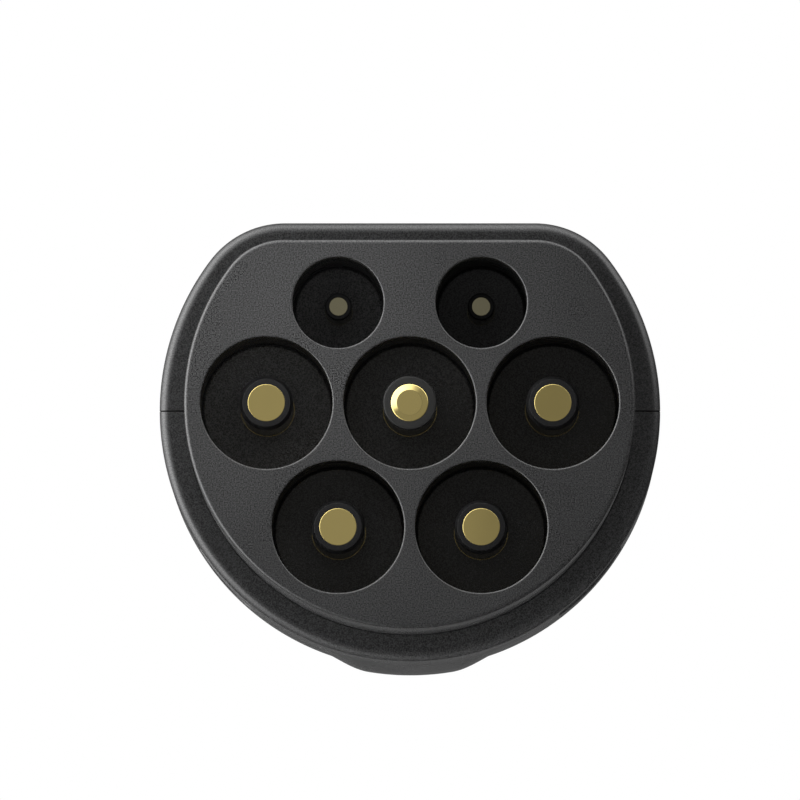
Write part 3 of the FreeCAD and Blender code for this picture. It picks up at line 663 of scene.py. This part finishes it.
# Case, two half shells of moulded nylon that meet level with the earth pin and are screwed
# together from below. The lower one carries a raised pad that fades into the round underside,
# and a shallow grip panel on each flank. The rim round the block has a soft outer edge.
CASE_WALL = 2.85 * MM
CASE_CLEAR = 0.15 * MM
CASE_GROW = CASE_WALL + CASE_CLEAR
CASE_LIP_CLEAR = 0.03 * MM
CASE_LIP_LONG = 0.6 * MM
CASE_BACK_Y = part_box("upper_housing")[1].y
RIM_ROUND = 1.1 * MM
RIM_INNER_EDGE = 0.06 * MM
BACK_ROUND = 2.0 * MM
HALF_GAP = 0.075 * MM
END_WALL = 2.5 * MM
NOSE_CLEAR = 0.15 * MM
LOBE_X = 9.5 * MM
LOBE_RISE = 3.5 * MM
LOBE_R = 12.0 * MM
LOW_LOBE_DROP = 4.0 * MM
LOW_LOBE_R = 11.5 * MM
RECESS_WIDE = 7.0 * MM
PAD_HEIGHT = 0.99 * MM
PAD_FLAT_WIDE = 9.2 * MM
PAD_FOOT_WIDE = 21.2 * MM
PAD_RAMP = 22.0 * MM
PAD_FROM_RIM = 2.0 * MM
PAD_FROM_BACK = 4.0 * MM
GRIP_DEEP = 0.2 * MM
GRIP_TOP_ANGLE = math.radians(32)
GRIP_LOW_ANGLE = math.radians(53)
GRIP_FROM_RIM = 4.0 * MM
GRIP_LENGTH = 22.0 * MM
GRIP_STEP = 0.12 * MM
CASE_STEPS = 360
LOBE_STEPS = 48
STATIONS = 56
EDGE_STEPS = 8
TINY = 1e-6


def lobes(grow, steps=LOBE_STEPS):
    """The plug's outline round three lobes, with two points more where the lock recess is."""
    circles = [
        (0.0, -LOW_LOBE_DROP, LOW_LOBE_R + grow),
        (LOBE_X, LOBE_RISE, LOBE_R + grow),
        (-LOBE_X, LOBE_RISE, LOBE_R + grow),
    ]
    turns = []
    for (x, z, r), (next_x, next_z, next_r) in zip(circles, circles[1:] + circles[:1]):
        away = math.hypot(next_x - x, next_z - z)
        heading = math.atan2(next_z - z, next_x - x)
        turns.append(heading - math.acos((r - next_r) / away))
    points = []
    for index, (x, z, r) in enumerate(circles):
        start = turns[index - 1]
        end = turns[index]
        while end < start:
            end += 2 * math.pi
        points += arc_points(x, z, r, start, end, steps)
        points.append((x + r * math.cos(end), z + r * math.sin(end)))
        if index == 1:
            points += [(RECESS_WIDE / 2, z + r), (-RECESS_WIDE / 2, z + r)]
    return points


def half_outline(points, side):
    """The part of a closed outline above (side 1) or below (-1) the split, from right to left."""
    cut = side * HALF_GAP
    count = len(points)
    kept = [side * (z - cut) > 0 for _, z in points]
    first = next(i for i in range(count) if kept[i] and not kept[i - 1])
    walk = [points[(first + i) % count] for i in range(-1, sum(kept) + 1)]
    for end, inner in ((0, 1), (-1, -2)):
        share = (cut - walk[end][1]) / (walk[inner][1] - walk[end][1])
        walk[end] = (walk[end][0] + share * (walk[inner][0] - walk[end][0]), cut)
    return walk if side > 0 else walk[::-1]


def ease(t):
    t = min(max(t, 0.0), 1.0)
    return t * t * (3 - 2 * t)


def underside(x, z, y):
    """How far the lower shell stands out from its round form at a point."""
    foot = PAD_FOOT_WIDE / 2
    flat = PAD_FLAT_WIDE / 2
    across = ease((foot - abs(x)) / (foot - flat))
    start = RIM_Y + PAD_FROM_RIM
    end = CASE_BACK_Y - PAD_FROM_BACK
    along = min(ease((y - start) / PAD_RAMP), ease((end - y) / (PAD_RAMP / 2)))
    height = PAD_HEIGHT * across * along if z < 0 else 0.0
    turn = math.atan2(-z, abs(x))
    grip_start = RIM_Y + GRIP_FROM_RIM
    inside = grip_start <= y <= grip_start + GRIP_LENGTH
    if inside and GRIP_TOP_ANGLE + TINY < turn < GRIP_LOW_ANGLE + TINY:
        height -= GRIP_DEEP
    return height


def case_shell(side):
    """One half of the case as a closed shell; its section is followed round from the rim."""
    bm = bmesh.new()
    front = [
        (CASE_CLEAR, RIM_Y + CASE_LIP_LONG),
        (CASE_LIP_CLEAR, RIM_Y + CASE_LIP_LONG),
        (CASE_LIP_CLEAR, RIM_Y + RIM_INNER_EDGE),
        (CASE_LIP_CLEAR + RIM_INNER_EDGE, RIM_Y),
        (CASE_LIP_CLEAR + RIM_INNER_EDGE + SUPPORT, RIM_Y),
        (CASE_GROW - RIM_ROUND - SUPPORT, RIM_Y),
    ]
    front += [(CASE_GROW - inset, RIM_Y + deep) for inset, deep in quarter(RIM_ROUND, EDGE_STEPS)]
    grip_start = RIM_Y + GRIP_FROM_RIM
    grip_end = grip_start + GRIP_LENGTH
    flank = GRIP_STEP / BLOCK_R
    grip_turns = [-a for a in (GRIP_TOP_ANGLE, GRIP_TOP_ANGLE + flank)]
    grip_turns += [-a for a in (GRIP_LOW_ANGLE, GRIP_LOW_ANGLE + flank)]
    grip_turns += [-math.pi - a for a in grip_turns]
    stations = {grip_start - GRIP_STEP, grip_start, grip_end, grip_end + GRIP_STEP}
    first = RIM_Y + RIM_ROUND
    last = CASE_BACK_Y - BACK_ROUND
    stations |= {first + (last - first) * i / STATIONS for i in range(1, STATIONS)}
    wall = [(CASE_GROW, y) for y in sorted(stations)]
    back_edge = reversed(quarter(BACK_ROUND, EDGE_STEPS))
    back = [(CASE_GROW - inset, CASE_BACK_Y - deep) for inset, deep in back_edge]
    back.append((CASE_GROW - BACK_ROUND - SUPPORT, CASE_BACK_Y))
    loops = []
    for grow, y in front + wall + back:
        points = half_outline(dee(grow, CASE_STEPS, grip_turns), side)
        if side < 0 and grow > CASE_GROW - TINY:
            moved = []
            for x, z in points:
                out = 1 + underside(x, z, y) / math.hypot(x, z)
                moved.append((x * out, z * out))
            points = moved
        loops.append(loop_at(bm, points, y))
    mouth = half_outline(lobes(NOSE_CLEAR), side)
    mouth_back = loop_at(bm, mouth, CASE_BACK_Y)
    mouth_inner = loop_at(bm, mouth, CASE_BACK_Y - END_WALL)
    inside = half_outline(dee(CASE_CLEAR, CASE_STEPS, grip_turns), side)
    inner_back = loop_at(bm, inside, CASE_BACK_Y - END_WALL)
    bridge(bm, loops, closed=False)
    bridge(bm, [mouth_back, mouth_inner], closed=False)
    bridge(bm, [inner_back, loops[0]], closed=False)
    half_plate(bm, loops[-1], mouth_back)
    half_plate(bm, inner_back, mouth_inner)
    section = loops + [mouth_back, mouth_inner, inner_back]
    bm.faces.new([loop[0] for loop in section])
    bm.faces.new([loop[-1] for loop in section])
    return bm


def half_plate(bm, outer, inner):
    """The flat wall between two half outlines."""
    verts = outer + inner
    count = len(outer)
    edges = [(i, i + 1) for i in range(count - 1)]
    edges += [(i, i + 1) for i in range(count, len(verts) - 1)]
    edges += [(0, count), (count - 1, len(verts) - 1)]
    fill(bm, verts, edges, lambda ids: min(ids) < count)


case_plastic = moulded_plastic(
    "case_plastic", (0.002, 0.002, 0.0021), (0.077, 0.077, 0.078),
    0.30, GRAIN, GRAIN_DEPTH, wall_rough=0.26,
)
place_mesh(
    closed_mesh(case_shell(1)), "upper_case", case_plastic, ["upper_housing"]
)


# Screw pockets of the lower case: four long posts reach down from the split, each with a deep
# round pocket from below, so that the heads lie hidden and a screwdriver still gets in.
POST_X = 20.3 * MM
POST_MIDDLE_Y = CASE_BACK_Y - 22.5 * MM
POST_PITCH = 10.0 * MM
POST_R = 3.0 * MM
SEAT_DROP = 11.0 * MM
SCREW_PLACES = {
    "Side": POST_X, "Middle": POST_MIDDLE_Y, "Pitch": POST_PITCH, "Seat": -SEAT_DROP
}
POCKET_R = 2.9 * MM
POCKET_WALL = 1.2 * MM
POST_LOW = -32.0 * MM
POST_STEPS = 72


def shifted(tree, geometry_socket, **axes):
    """A node that moves geometry along the axes that are given."""
    return add_node(tree, "GeometryNodeTransform", {
        "Geometry": geometry_socket, "Translation": vector(tree, **axes),
    })


def upright(tree, radius, low, high):
    """A round post between two heights."""
    middle = calculate(tree, "MULTIPLY", calculate(tree, "ADD", low, high), 0.5)
    long = calculate(tree, "SUBTRACT", high, low)
    post = add_node(tree, "GeometryNodeMeshCylinder", {
        "Vertices": POST_STEPS, "Radius": radius, "Depth": long,
    })
    return shifted(tree, post.outputs["Mesh"], Z=middle).outputs[0]


def four_places(tree, given):
    """The corners of the screws' rectangle, from the tree's own inputs."""
    across = calculate(tree, "MULTIPLY", given["Side"], 2.0)
    grid = add_node(tree, "GeometryNodeMeshGrid", {
        "Vertices X": 2, "Vertices Y": 2, "Size X": across, "Size Y": given["Pitch"],
    })
    return shifted(tree, grid.outputs["Mesh"], Y=given["Middle"]).outputs[0]


def carve(tree, operation, one, two):
    """A mesh boolean; a union or an intersection takes both meshes as equals."""
    node = tree.nodes.new("GeometryNodeMeshBoolean")
    node.operation = operation
    node.solver = "EXACT"
    tree.links.new(one, node.inputs["Mesh 1" if operation == "DIFFERENCE" else "Mesh 2"])
    tree.links.new(two, node.inputs["Mesh 2"])
    return node.outputs["Mesh"]


def screw_post_tree():
    """Posts fused into a shell, kept within a solid, and drilled from below."""
    tree, given = new_tree("screw_posts", {
        "Object": ["Shell", "Inside"],
        "Float": [
            "Side", "Middle", "Pitch", "Post radius", "Pocket radius", "Pocket wall", "Low", "Seat",
            "Split",
        ],
        "Material": ["Material"],
    })
    places = four_places(tree, given)
    sleeve_r = calculate(tree, "ADD", given["Pocket radius"], given["Pocket wall"])
    sleeve_top = calculate(tree, "ADD", given["Seat"], given["Pocket wall"])
    sleeve = upright(tree, sleeve_r, given["Low"], sleeve_top)
    post = upright(tree, given["Post radius"], given["Seat"], given["Split"])
    solid = at_places(tree, places, carve(tree, "UNION", sleeve, post))
    inside = object_geometry(tree, given["Inside"])
    kept = carve(tree, "INTERSECT", solid, inside)
    fused = carve(tree, "UNION", object_geometry(tree, given["Shell"]), kept)
    drill = upright(tree, given["Pocket radius"], given["Low"], given["Seat"])
    drilled = carve(tree, "DIFFERENCE", fused, at_places(tree, places, drill))
    end_tree(tree, given["Material"], drilled)
    return tree


mid_wall = bmesh.new()
mid_wall_loops = [
    loop_at(mid_wall, dee(CASE_GROW - CASE_WALL / 2), y) for y in (RIM_Y, CASE_BACK_Y)
]
bridge(mid_wall, mid_wall_loops)
for loop in mid_wall_loops:
    mid_wall.faces.new(loop)
shell_helper = helper_object(closed_mesh(case_shell(-1)))
inside_helper = helper_object(closed_mesh(mid_wall))
lower_mesh = grown_mesh(screw_post_tree(), {
    "Shell": shell_helper,
    "Inside": inside_helper,
    **SCREW_PLACES,
    "Post radius": POST_R,
    "Pocket radius": POCKET_R,
    "Pocket wall": POCKET_WALL,
    "Low": POST_LOW,
    "Split": -HALF_GAP,
    "Material": case_plastic,
}, [shell_helper, inside_helper])
place_mesh(lower_mesh, "lower_case", case_plastic, ["lower_housing"])


# Case screws: four thread-forming pan-head screws of zinc-plated steel with a cross recess. They
# go up from the pockets through the lower case's posts and bite in the upper case.
SCREW_R = 1.4 * MM
SCREW_LENGTH = 19.0 * MM
SCREW_TIP_R = 0.42 * MM
HEAD_R = 2.6 * MM
HEAD_HIGH = 2.0 * MM
HEAD_ROUND = 0.9 * MM
RECESS_ARM = 1.56 * MM
RECESS_HALF = 0.36 * MM
RECESS_DEEP = 1.1 * MM
HEAD_STEPS = 6
SCREW_STEPS = 48


def cross_screw_tree():
    """A screw turned about Y gets its cross recess and hangs, head down, at four places."""
    tree, given = new_tree("cross_screws", {
        "Object": ["Screw"],
        "Float": [
            "Side", "Middle", "Pitch", "Seat", "Head height", "Arm", "Half width", "Recess depth",
        ],
        "Material": ["Material"],
    })
    body = object_geometry(tree, given["Screw"])
    long = calculate(tree, "MULTIPLY", given["Arm"], 2.0)
    wide = calculate(tree, "MULTIPLY", given["Half width"], 2.0)
    deep = calculate(tree, "MULTIPLY", given["Recess depth"], 2.0)
    for across, up in ((long, wide), (wide, long)):
        size = vector(tree, X=across, Y=deep, Z=up)
        bar = add_node(tree, "GeometryNodeMeshCube", {"Size": size})
        seated = shifted(tree, bar.outputs["Mesh"], Y=given["Head height"])
        body = carve(tree, "DIFFERENCE", body, seated.outputs[0])
    hang = shifted(tree, body, Z=given["Seat"])
    feed(tree, hang, {"Rotation": (-math.pi / 2, 0, 0)})
    hung = at_places(tree, four_places(tree, given), hang.outputs[0])
    end_tree(tree, given["Material"], hung)
    return tree


steel = metal("steel", (0.56, 0.57, 0.58), (900.0, 3.0, 0.6), 0.82, 0.28, 0.44)[0]
screw_profile = [(0.0, HEAD_HIGH), (HEAD_R - HEAD_ROUND - SUPPORT, HEAD_HIGH)]
screw_edge = quarter(HEAD_ROUND, HEAD_STEPS)
screw_profile += [(HEAD_R - inset, HEAD_HIGH - deep) for inset, deep in screw_edge]
screw_profile += [
    (HEAD_R, 0.0),
    (SCREW_R, 0.0),
    (SCREW_R, -SCREW_LENGTH),
    (SCREW_TIP_R, -SCREW_LENGTH - SCREW_R),
    (0.0, -SCREW_LENGTH - SCREW_R),
]
screw_helper = helper_object(turned(screw_profile, steps=SCREW_STEPS))
case_screws = grown_mesh(cross_screw_tree(), {
    "Screw": screw_helper,
    **SCREW_PLACES,
    "Head height": HEAD_HIGH,
    "Arm": RECESS_ARM,
    "Half width": RECESS_HALF,
    "Recess depth": RECESS_DEEP,
    "Material": steel,
}, [screw_helper])
place_mesh(case_screws, "case_screws", steel, ["housing_screws"])


# Plug body, the long rounded insulator that goes into the vehicle. It is moulded nylon of a
# satin finish, trapped by its flange, with an entry hole for each contact and, on top, the
# recess that the vehicle's lock drops into.
TIP_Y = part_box("nose_body")[1].y
HUB_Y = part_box("nose_body")[0].y
TIP_ROUND = 1.6 * MM
NOSE_FLANGE_WIDE = 2.0 * MM
NOSE_FLANGE_THICK = 2.5 * MM
RECESS_FROM_CASE = 14.0 * MM
RECESS_LONG = 8.0 * MM
RECESS_CUT = 3.0 * MM
RECESS_EDGE = 0.3 * MM
ENTRY_EDGE = 0.3 * MM
MOUTH_FROM_TIP = 7.0 * MM
SLEEVE_COLLAR_WIDE = 1.0 * MM
SOCKET_STEPS = 72
TIP_STEPS = 10
NEAR = 1e-7
SOCKETS = (
    (LOBE_X, LOBE_RISE, 4.0 * MM, 1.1 * MM),
    (-LOBE_X, LOBE_RISE, 4.0 * MM, 1.1 * MM),
    (0.0, -8.0 * MM, 2.5 * MM, 1.1 * MM),
    (8.2 * MM, -6.5 * MM, 1.3 * MM, 0.65 * MM),
    (-8.2 * MM, -6.5 * MM, 1.3 * MM, 0.65 * MM),
)
HUB_SCREWS = ((0.0, 9.5 * MM), (13.0 * MM, -4.8 * MM), (-13.0 * MM, -4.8 * MM))


def socket_loops(bm, x, z, r, wall):
    """A contact's way through the plug body, from its entry at the tip to the hub's face."""
    mouth_y = TIP_Y - MOUTH_FROM_TIP + BORE_CLEAR
    sleeve_r = r + wall + BORE_CLEAR
    collar_r = sleeve_r + SLEEVE_COLLAR_WIDE
    profile = [(r + ENTRY_EDGE + SUPPORT, TIP_Y)]
    profile += [(r + inset, TIP_Y - deep) for inset, deep in quarter(ENTRY_EDGE)]
    profile += [
        (r, mouth_y),
        (sleeve_r, mouth_y),
        (sleeve_r, HUB_Y + COLLAR_THICK),
        (collar_r, HUB_Y + COLLAR_THICK),
        (collar_r, HUB_Y),
    ]
    loops = [round_loop(bm, x, z, radius, y, SOCKET_STEPS) for radius, y in profile]
    bridge(bm, loops)
    return loops


def cut_recess(bm, start_y, end_y, top_z):
    """The face between two stations on top becomes a pocket with eased edges."""
    def on_mouth(vert):
        return (
            abs(abs(vert.co.x) - RECESS_WIDE / 2) < NEAR
            and abs(vert.co.z - top_z) < NEAR
            and min(abs(vert.co.y - start_y), abs(vert.co.y - end_y)) < NEAR
        )

    lid = next(face for face in bm.faces if all(on_mouth(vert) for vert in face.verts))
    mouth = list(lid.verts)
    bm.faces.remove(lid)
    foot = [bm.verts.new(vert.co - Vector((0, 0, RECESS_CUT))) for vert in mouth]
    for i in range(4):
        j = (i + 1) % 4
        bm.faces.new((mouth[i], mouth[j], foot[j], foot[i]))
    bm.faces.new(foot)
    edges = [bm.edges.get((mouth[i], mouth[(i + 1) % 4])) for i in range(4)]
    edges += [bm.edges.get((foot[i], foot[(i + 1) % 4])) for i in range(4)]
    bmesh.ops.bevel(
        bm, geom=edges, offset=RECESS_EDGE, segments=4, profile=0.5, affect="EDGES"
    )


nose = bmesh.new()
recess_y = (CASE_BACK_Y + RECESS_FROM_CASE, CASE_BACK_Y + RECESS_FROM_CASE + RECESS_LONG)
seat_y = CASE_BACK_Y - END_WALL
nose_profile = [(-TIP_ROUND - SUPPORT, TIP_Y)]
nose_profile += [(-inset, TIP_Y - deep) for inset, deep in quarter(TIP_ROUND, TIP_STEPS)]
nose_profile += [
    (0.0, recess_y[1]),
    (0.0, recess_y[0]),
    (0.0, seat_y),
    (NOSE_FLANGE_WIDE, seat_y),
    (NOSE_FLANGE_WIDE, seat_y - NOSE_FLANGE_THICK),
    (0.0, seat_y - NOSE_FLANGE_THICK),
    (0.0, HUB_Y),
]
nose_loops = [loop_at(nose, lobes(grow), y) for grow, y in nose_profile]
bridge(nose, nose_loops)
ways = [socket_loops(nose, *size) for size in SOCKETS]
hub_holes = [
    blind_hole(nose, x, z, SCREW_HOLE_R, HUB_Y, HUB_Y + SCREW_HOLE_DEEP) for x, z in HUB_SCREWS
]
plate(nose, nose_loops[0], [loops[0] for loops in ways])
plate(nose, nose_loops[-1], [loops[-1] for loops in ways] + hub_holes)
cut_recess(nose, *recess_y, LOBE_RISE + LOBE_R)
nose_plastic = moulded_plastic(
    "nose_plastic", (0.034, 0.034, 0.035), (0.050, 0.050, 0.051), 0.42, 0.3 * MM, 0.003 * MM
)
place_mesh(closed_mesh(nose), "plug_body", nose_plastic, ["nose_body"])


# Plug gasket, a moulded rubber ring that is stretched over the plug body and lies flat on the
# back of the case. Its outer edge is fully rounded.
GASKET_WIDE = 2.0 * MM
GASKET_THICK = 1.6 * MM
GASKET_ROUND = 0.8 * MM
RUBBER_CLEAR = 0.02 * MM

gasket = bmesh.new()
gasket_y = CASE_BACK_Y + RUBBER_CLEAR
gasket_top = CASE_BACK_Y + GASKET_THICK
gasket_profile = [(RUBBER_CLEAR, gasket_y), (GASKET_WIDE, gasket_y)]
gasket_edge = reversed(quarter(GASKET_ROUND, EDGE_STEPS))
gasket_profile += [(GASKET_WIDE - inset, gasket_top - deep) for inset, deep in gasket_edge]
gasket_profile += [(GASKET_WIDE - GASKET_ROUND - SUPPORT, gasket_top), (RUBBER_CLEAR, gasket_top)]
gasket_loops = [loop_at(gasket, lobes(grow), y) for grow, y in gasket_profile]
bridge(gasket, gasket_loops + gasket_loops[:1])
rubber = moulded_plastic(
    "rubber", (0.017, 0.017, 0.017), (0.029, 0.029, 0.029), 0.75, 0.25 * MM, 0.004 * MM, 0.35
)
place_mesh(closed_mesh(gasket), "plug_gasket", rubber, ["nose_gasket"])


# Rings on the pins and round the block, of the same rubber. The frame's own shapes are true to
# them, so they only get their finish.
def finish_nodes(material, *names):
    for name in names:
        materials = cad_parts[name].data.materials
        materials.clear()
        materials.append(material)


finish_nodes(
    rubber, "inlet_gasket", "seal_earth", "seal_line_1", "seal_line_2", "seal_line_3",
    "seal_neutral", "seal_pilot", "seal_proximity",
)


# Contact sleeves of the plug, turned and slotted like a collet and plated like the pins. A split
# band of spring steel in a groove keeps the fingers of the two larger ones closed.
finish_nodes(
    gold, "socket_line", "socket_neutral", "socket_earth", "socket_pilot", "socket_proximity"
)
finish_nodes(steel, "spring_line", "spring_neutral")


# Clamp plates, flat mouldings of pale glass-filled nylon that hold the pins and the sleeves in
# their bores from behind, each with its own short screws.
clamp_plastic = moulded_plastic(
    "clamp_plastic", (0.10, 0.10, 0.10), (0.14, 0.14, 0.14), 0.5, 0.5 * MM, 0.004 * MM
)
finish_nodes(clamp_plastic, "pin_clamp_plate", "socket_clamp_plate")
finish_nodes(steel, "clamp_screws", "socket_screws")


# Conductors: three bare links of drawn copper, soldered into the cups, and two thin insulated
# leads that carry the pilot and the proximity signals.
copper = metal("copper", (0.72, 0.40, 0.26), (300.0, 4.0, 0.6), 0.7, 0.3, 0.45)[0]
lead_cover = moulded_plastic(
    "lead_cover", (0.72, 0.71, 0.67), (0.78, 0.77, 0.73), 0.4, 1.5 * MM, 0.001 * MM
)
finish_nodes(copper, "conductor_line", "conductor_neutral", "conductor_earth")
finish_nodes(lead_cover, "lead_pilot", "lead_proximity")


# Coding board, a small board under the top wall with the two resistors that tell the vehicle
# what the adapter can carry. It is coated green and hangs from two pegs.
board_coat = moulded_plastic(
    "board_coat", (0.045, 0.20, 0.09), (0.055, 0.24, 0.11), 0.3, 2.0 * MM, 0.001 * MM
)
resistor_body = moulded_plastic(
    "resistor_body", (0.05, 0.05, 0.05), (0.07, 0.07, 0.07), 0.45, 0.4 * MM, 0.002 * MM
)
finish_nodes(board_coat, "coding_board")
finish_nodes(resistor_body, "coding_resistors")


# Studio: a pale floor, small soft lamps near the face, whose light falls off from the upper left
# to the lower right, and wide ones above, beside and behind. The camera and glass see a white
# room; metal and gloss mirror it shaded by direction, as patches round the camera's axis.
FLOOR_DROP = 60.0 * MM
FLOOR_R = 0.45
FLOOR_SIDES = 96
PICTURE_PX = 800
PX_PER_MM = 8.958
VIEW_WIDE = PICTURE_PX / PX_PER_MM * MM
CAMERA_AWAY = 4.0
CAMERA_LOW = math.radians(1.5)
CAMERA_RIGHT = math.radians(0.08)
SENSOR = 36.0
AIM = Vector((-1.07 * MM, FACE_Y, 0.28 * MM))
SPOT = 0.03
PANEL = 0.3
CASE_MIDDLE = (0, RIM_Y / 2, 0)
ROOM_LIGHT = 0.06
DOME_LIGHT = 8.0
DOME_AROUND = (
    (-180, 1.0), (-150, 0.75), (-135, 0.5), (-120, 0.2), (-90, 0.06), (-60, 0.02), (-30, 0.02),
    (-10, 0.03), (0, 0.06), (15, 0.22), (30, 0.42), (60, 0.46), (90, 0.5), (120, 0.78),
    (135, 0.95), (150, 0.9), (180, 1.0),
)
DOME_ALONG = (
    (0, 0.0), (38, 0.0), (44, 0.06), (50, 0.5), (57, 0.92), (72, 1.0), (90, 0.80), (110, 0.28),
    (140, 0.02), (180, 0.0),
)
GLEAM_LIGHT = 2.8
GLEAM_AROUND = (
    (-180, 0.9), (-168, 0.6), (-152, 0.0), (50, 0.0), (68, 0.15), (90, 0.6), (120, 1.0), (180, 0.9)
)
GLEAM_ALONG = ((0, 0.0), (24, 0.0), (29, 1.0), (42, 1.0), (50, 0.0), (180, 0.0))
FRONT_LIGHT = 0.30
FRONT_AROUND = ((-180, 1.0), (180, 1.0))
FRONT_ALONG = (
    (0, 0.72), (18, 0.70), (27, 0.95), (36, 1.0), (44, 0.10), (150, 0.10), (165, 0.4), (180, 0.6)
)

floor_mesh = bpy.data.meshes.new("floor")
floor_bm = bmesh.new()
bmesh.ops.create_circle(floor_bm, cap_ends=True, radius=FLOOR_R, segments=FLOOR_SIDES)
floor_bm.to_mesh(floor_mesh)
floor_bm.free()
floor = bpy.data.objects.new("floor", floor_mesh)
floor.location = (0, FACE_Y / 2, -FLOOR_DROP)
bpy.context.scene.collection.objects.link(floor)
floor_paint, floor_tree, floor_shader = new_material("floor_paint")
feed(floor_tree, floor_shader, {"Base Color": (0.86, 0.86, 0.86, 1), "Roughness": 0.9})
floor_mesh.materials.append(floor_paint)
floor.visible_glossy = False

world = bpy.data.worlds.new("room")
bpy.context.scene.world = world
world.use_nodes = True
room = world.node_tree
room.nodes.clear()


def background(strength):
    return add_node(room, "ShaderNodeBackground", {"Color": (1, 1, 1, 1), "Strength": strength})


def mix(share, one, two):
    return add_node(room, "ShaderNodeMixShader", {
        "Fac": share, 1: one.outputs[0], 2: two.outputs[0],
    })


heading = room.nodes.new("ShaderNodeTexCoord").outputs["Generated"]
parts = add_node(room, "ShaderNodeSeparateXYZ", {0: heading}).outputs
turn = calculate(room, "ARCTAN2", parts["Z"], parts["X"])
around = spread(room, turn, 0.0, 1.0, -math.pi, math.pi)
along = spread(room, parts["Y"], 0.0, 1.0, -1.0, 1.0)


def patch(light, around_stops, off_axis_stops):
    """A bright part of the mirrored room: degrees round the axis, and off the camera's side."""
    one = ramp(room, around, [
        ((angle + 180) / 360, [height] * 3) for angle, height in around_stops
    ])
    two = ramp(room, along, [
        ((1 - math.cos(math.radians(angle))) / 2, [height] * 3) for angle, height in off_axis_stops
    ])
    return calculate(room, "MULTIPLY", calculate(room, "MULTIPLY", one, two), light)


dome = patch(DOME_LIGHT, DOME_AROUND, DOME_ALONG)
gleam = patch(GLEAM_LIGHT, GLEAM_AROUND, GLEAM_ALONG)
front = patch(FRONT_LIGHT, FRONT_AROUND, FRONT_ALONG)
mirrored_light = calculate(room, "ADD", calculate(room, "ADD", dome, gleam), front)
rays = room.nodes.new("ShaderNodeLightPath").outputs
seen = mix(rays["Is Glossy Ray"], background(ROOM_LIGHT), background(mirrored_light))
clear = calculate(room, "MAXIMUM", rays["Is Camera Ray"], rays["Is Transmission Ray"])
whole_room = mix(clear, seen, background(1.0))
add_node(room, "ShaderNodeOutputWorld", {"Surface": whole_room.outputs[0]})


def hang_lamp(lamp, place, aim, mirrored_only=False):
    holder = bpy.data.objects.new(lamp.name, lamp)
    holder.location = place
    holder.rotation_euler = (Vector(aim) - Vector(place)).to_track_quat("-Z", "Y").to_euler()
    holder.visible_camera = False
    holder.visible_glossy = mirrored_only
    holder.visible_diffuse = not mirrored_only
    bpy.context.scene.collection.objects.link(holder)


def softbox(name, place, aim, wide, high, power, mirrored_only=False):
    lamp = bpy.data.lights.new(name, "AREA")
    lamp.shape = "RECTANGLE"
    lamp.size = wide
    lamp.size_y = high
    lamp.energy = power
    hang_lamp(lamp, place, aim, mirrored_only)


softbox("key", (-0.017, FACE_Y - 0.042, 0.012), (-0.009, FACE_Y, 0.006), SPOT, SPOT, 0.0152)
softbox("brow", (-0.022, FACE_Y - 0.045, 0.045), (-0.004, FACE_Y, 0.010), SPOT, SPOT, 0.006)
softbox(
    "sheen", (-0.030, FACE_Y - 0.10, 0.024), (-0.030, FACE_Y, 0.024), 0.075, 0.09, 0.0024, True
)
sun = bpy.data.lights.new("front", "SUN")
sun.angle = math.radians(9.0)
sun.energy = 0.13
hang_lamp(sun, (0, FACE_Y - 1, 0), (0, FACE_Y, 0))
softbox("under", (0, -0.051, -0.056), (0, -0.052, 0), 0.06, 0.012, 0.008)
softbox("top", (0, 0.02, 0.40), CASE_MIDDLE, PANEL, PANEL, 0.75)
softbox("left", (-0.35, 0.02, 0.06), CASE_MIDDLE, PANEL, PANEL, 0.45)
softbox("rear", (0.12, 0.45, 0.25), (0, 0, 0), PANEL, PANEL, 0.8)

camera_data = bpy.data.cameras.new("camera")
camera_data.sensor_width = SENSOR
camera_data.lens = SENSOR * CAMERA_AWAY / VIEW_WIDE
camera = bpy.data.objects.new("camera", camera_data)
sight = Vector((-math.tan(CAMERA_RIGHT), 1, math.tan(CAMERA_LOW))).normalized()
camera.location = AIM - sight * CAMERA_AWAY
camera.rotation_euler = sight.to_track_quat("-Z", "Y").to_euler()
bpy.context.scene.collection.objects.link(camera)
bpy.context.scene.camera = camera
bpy.context.scene.view_settings.view_transform = "Standard"
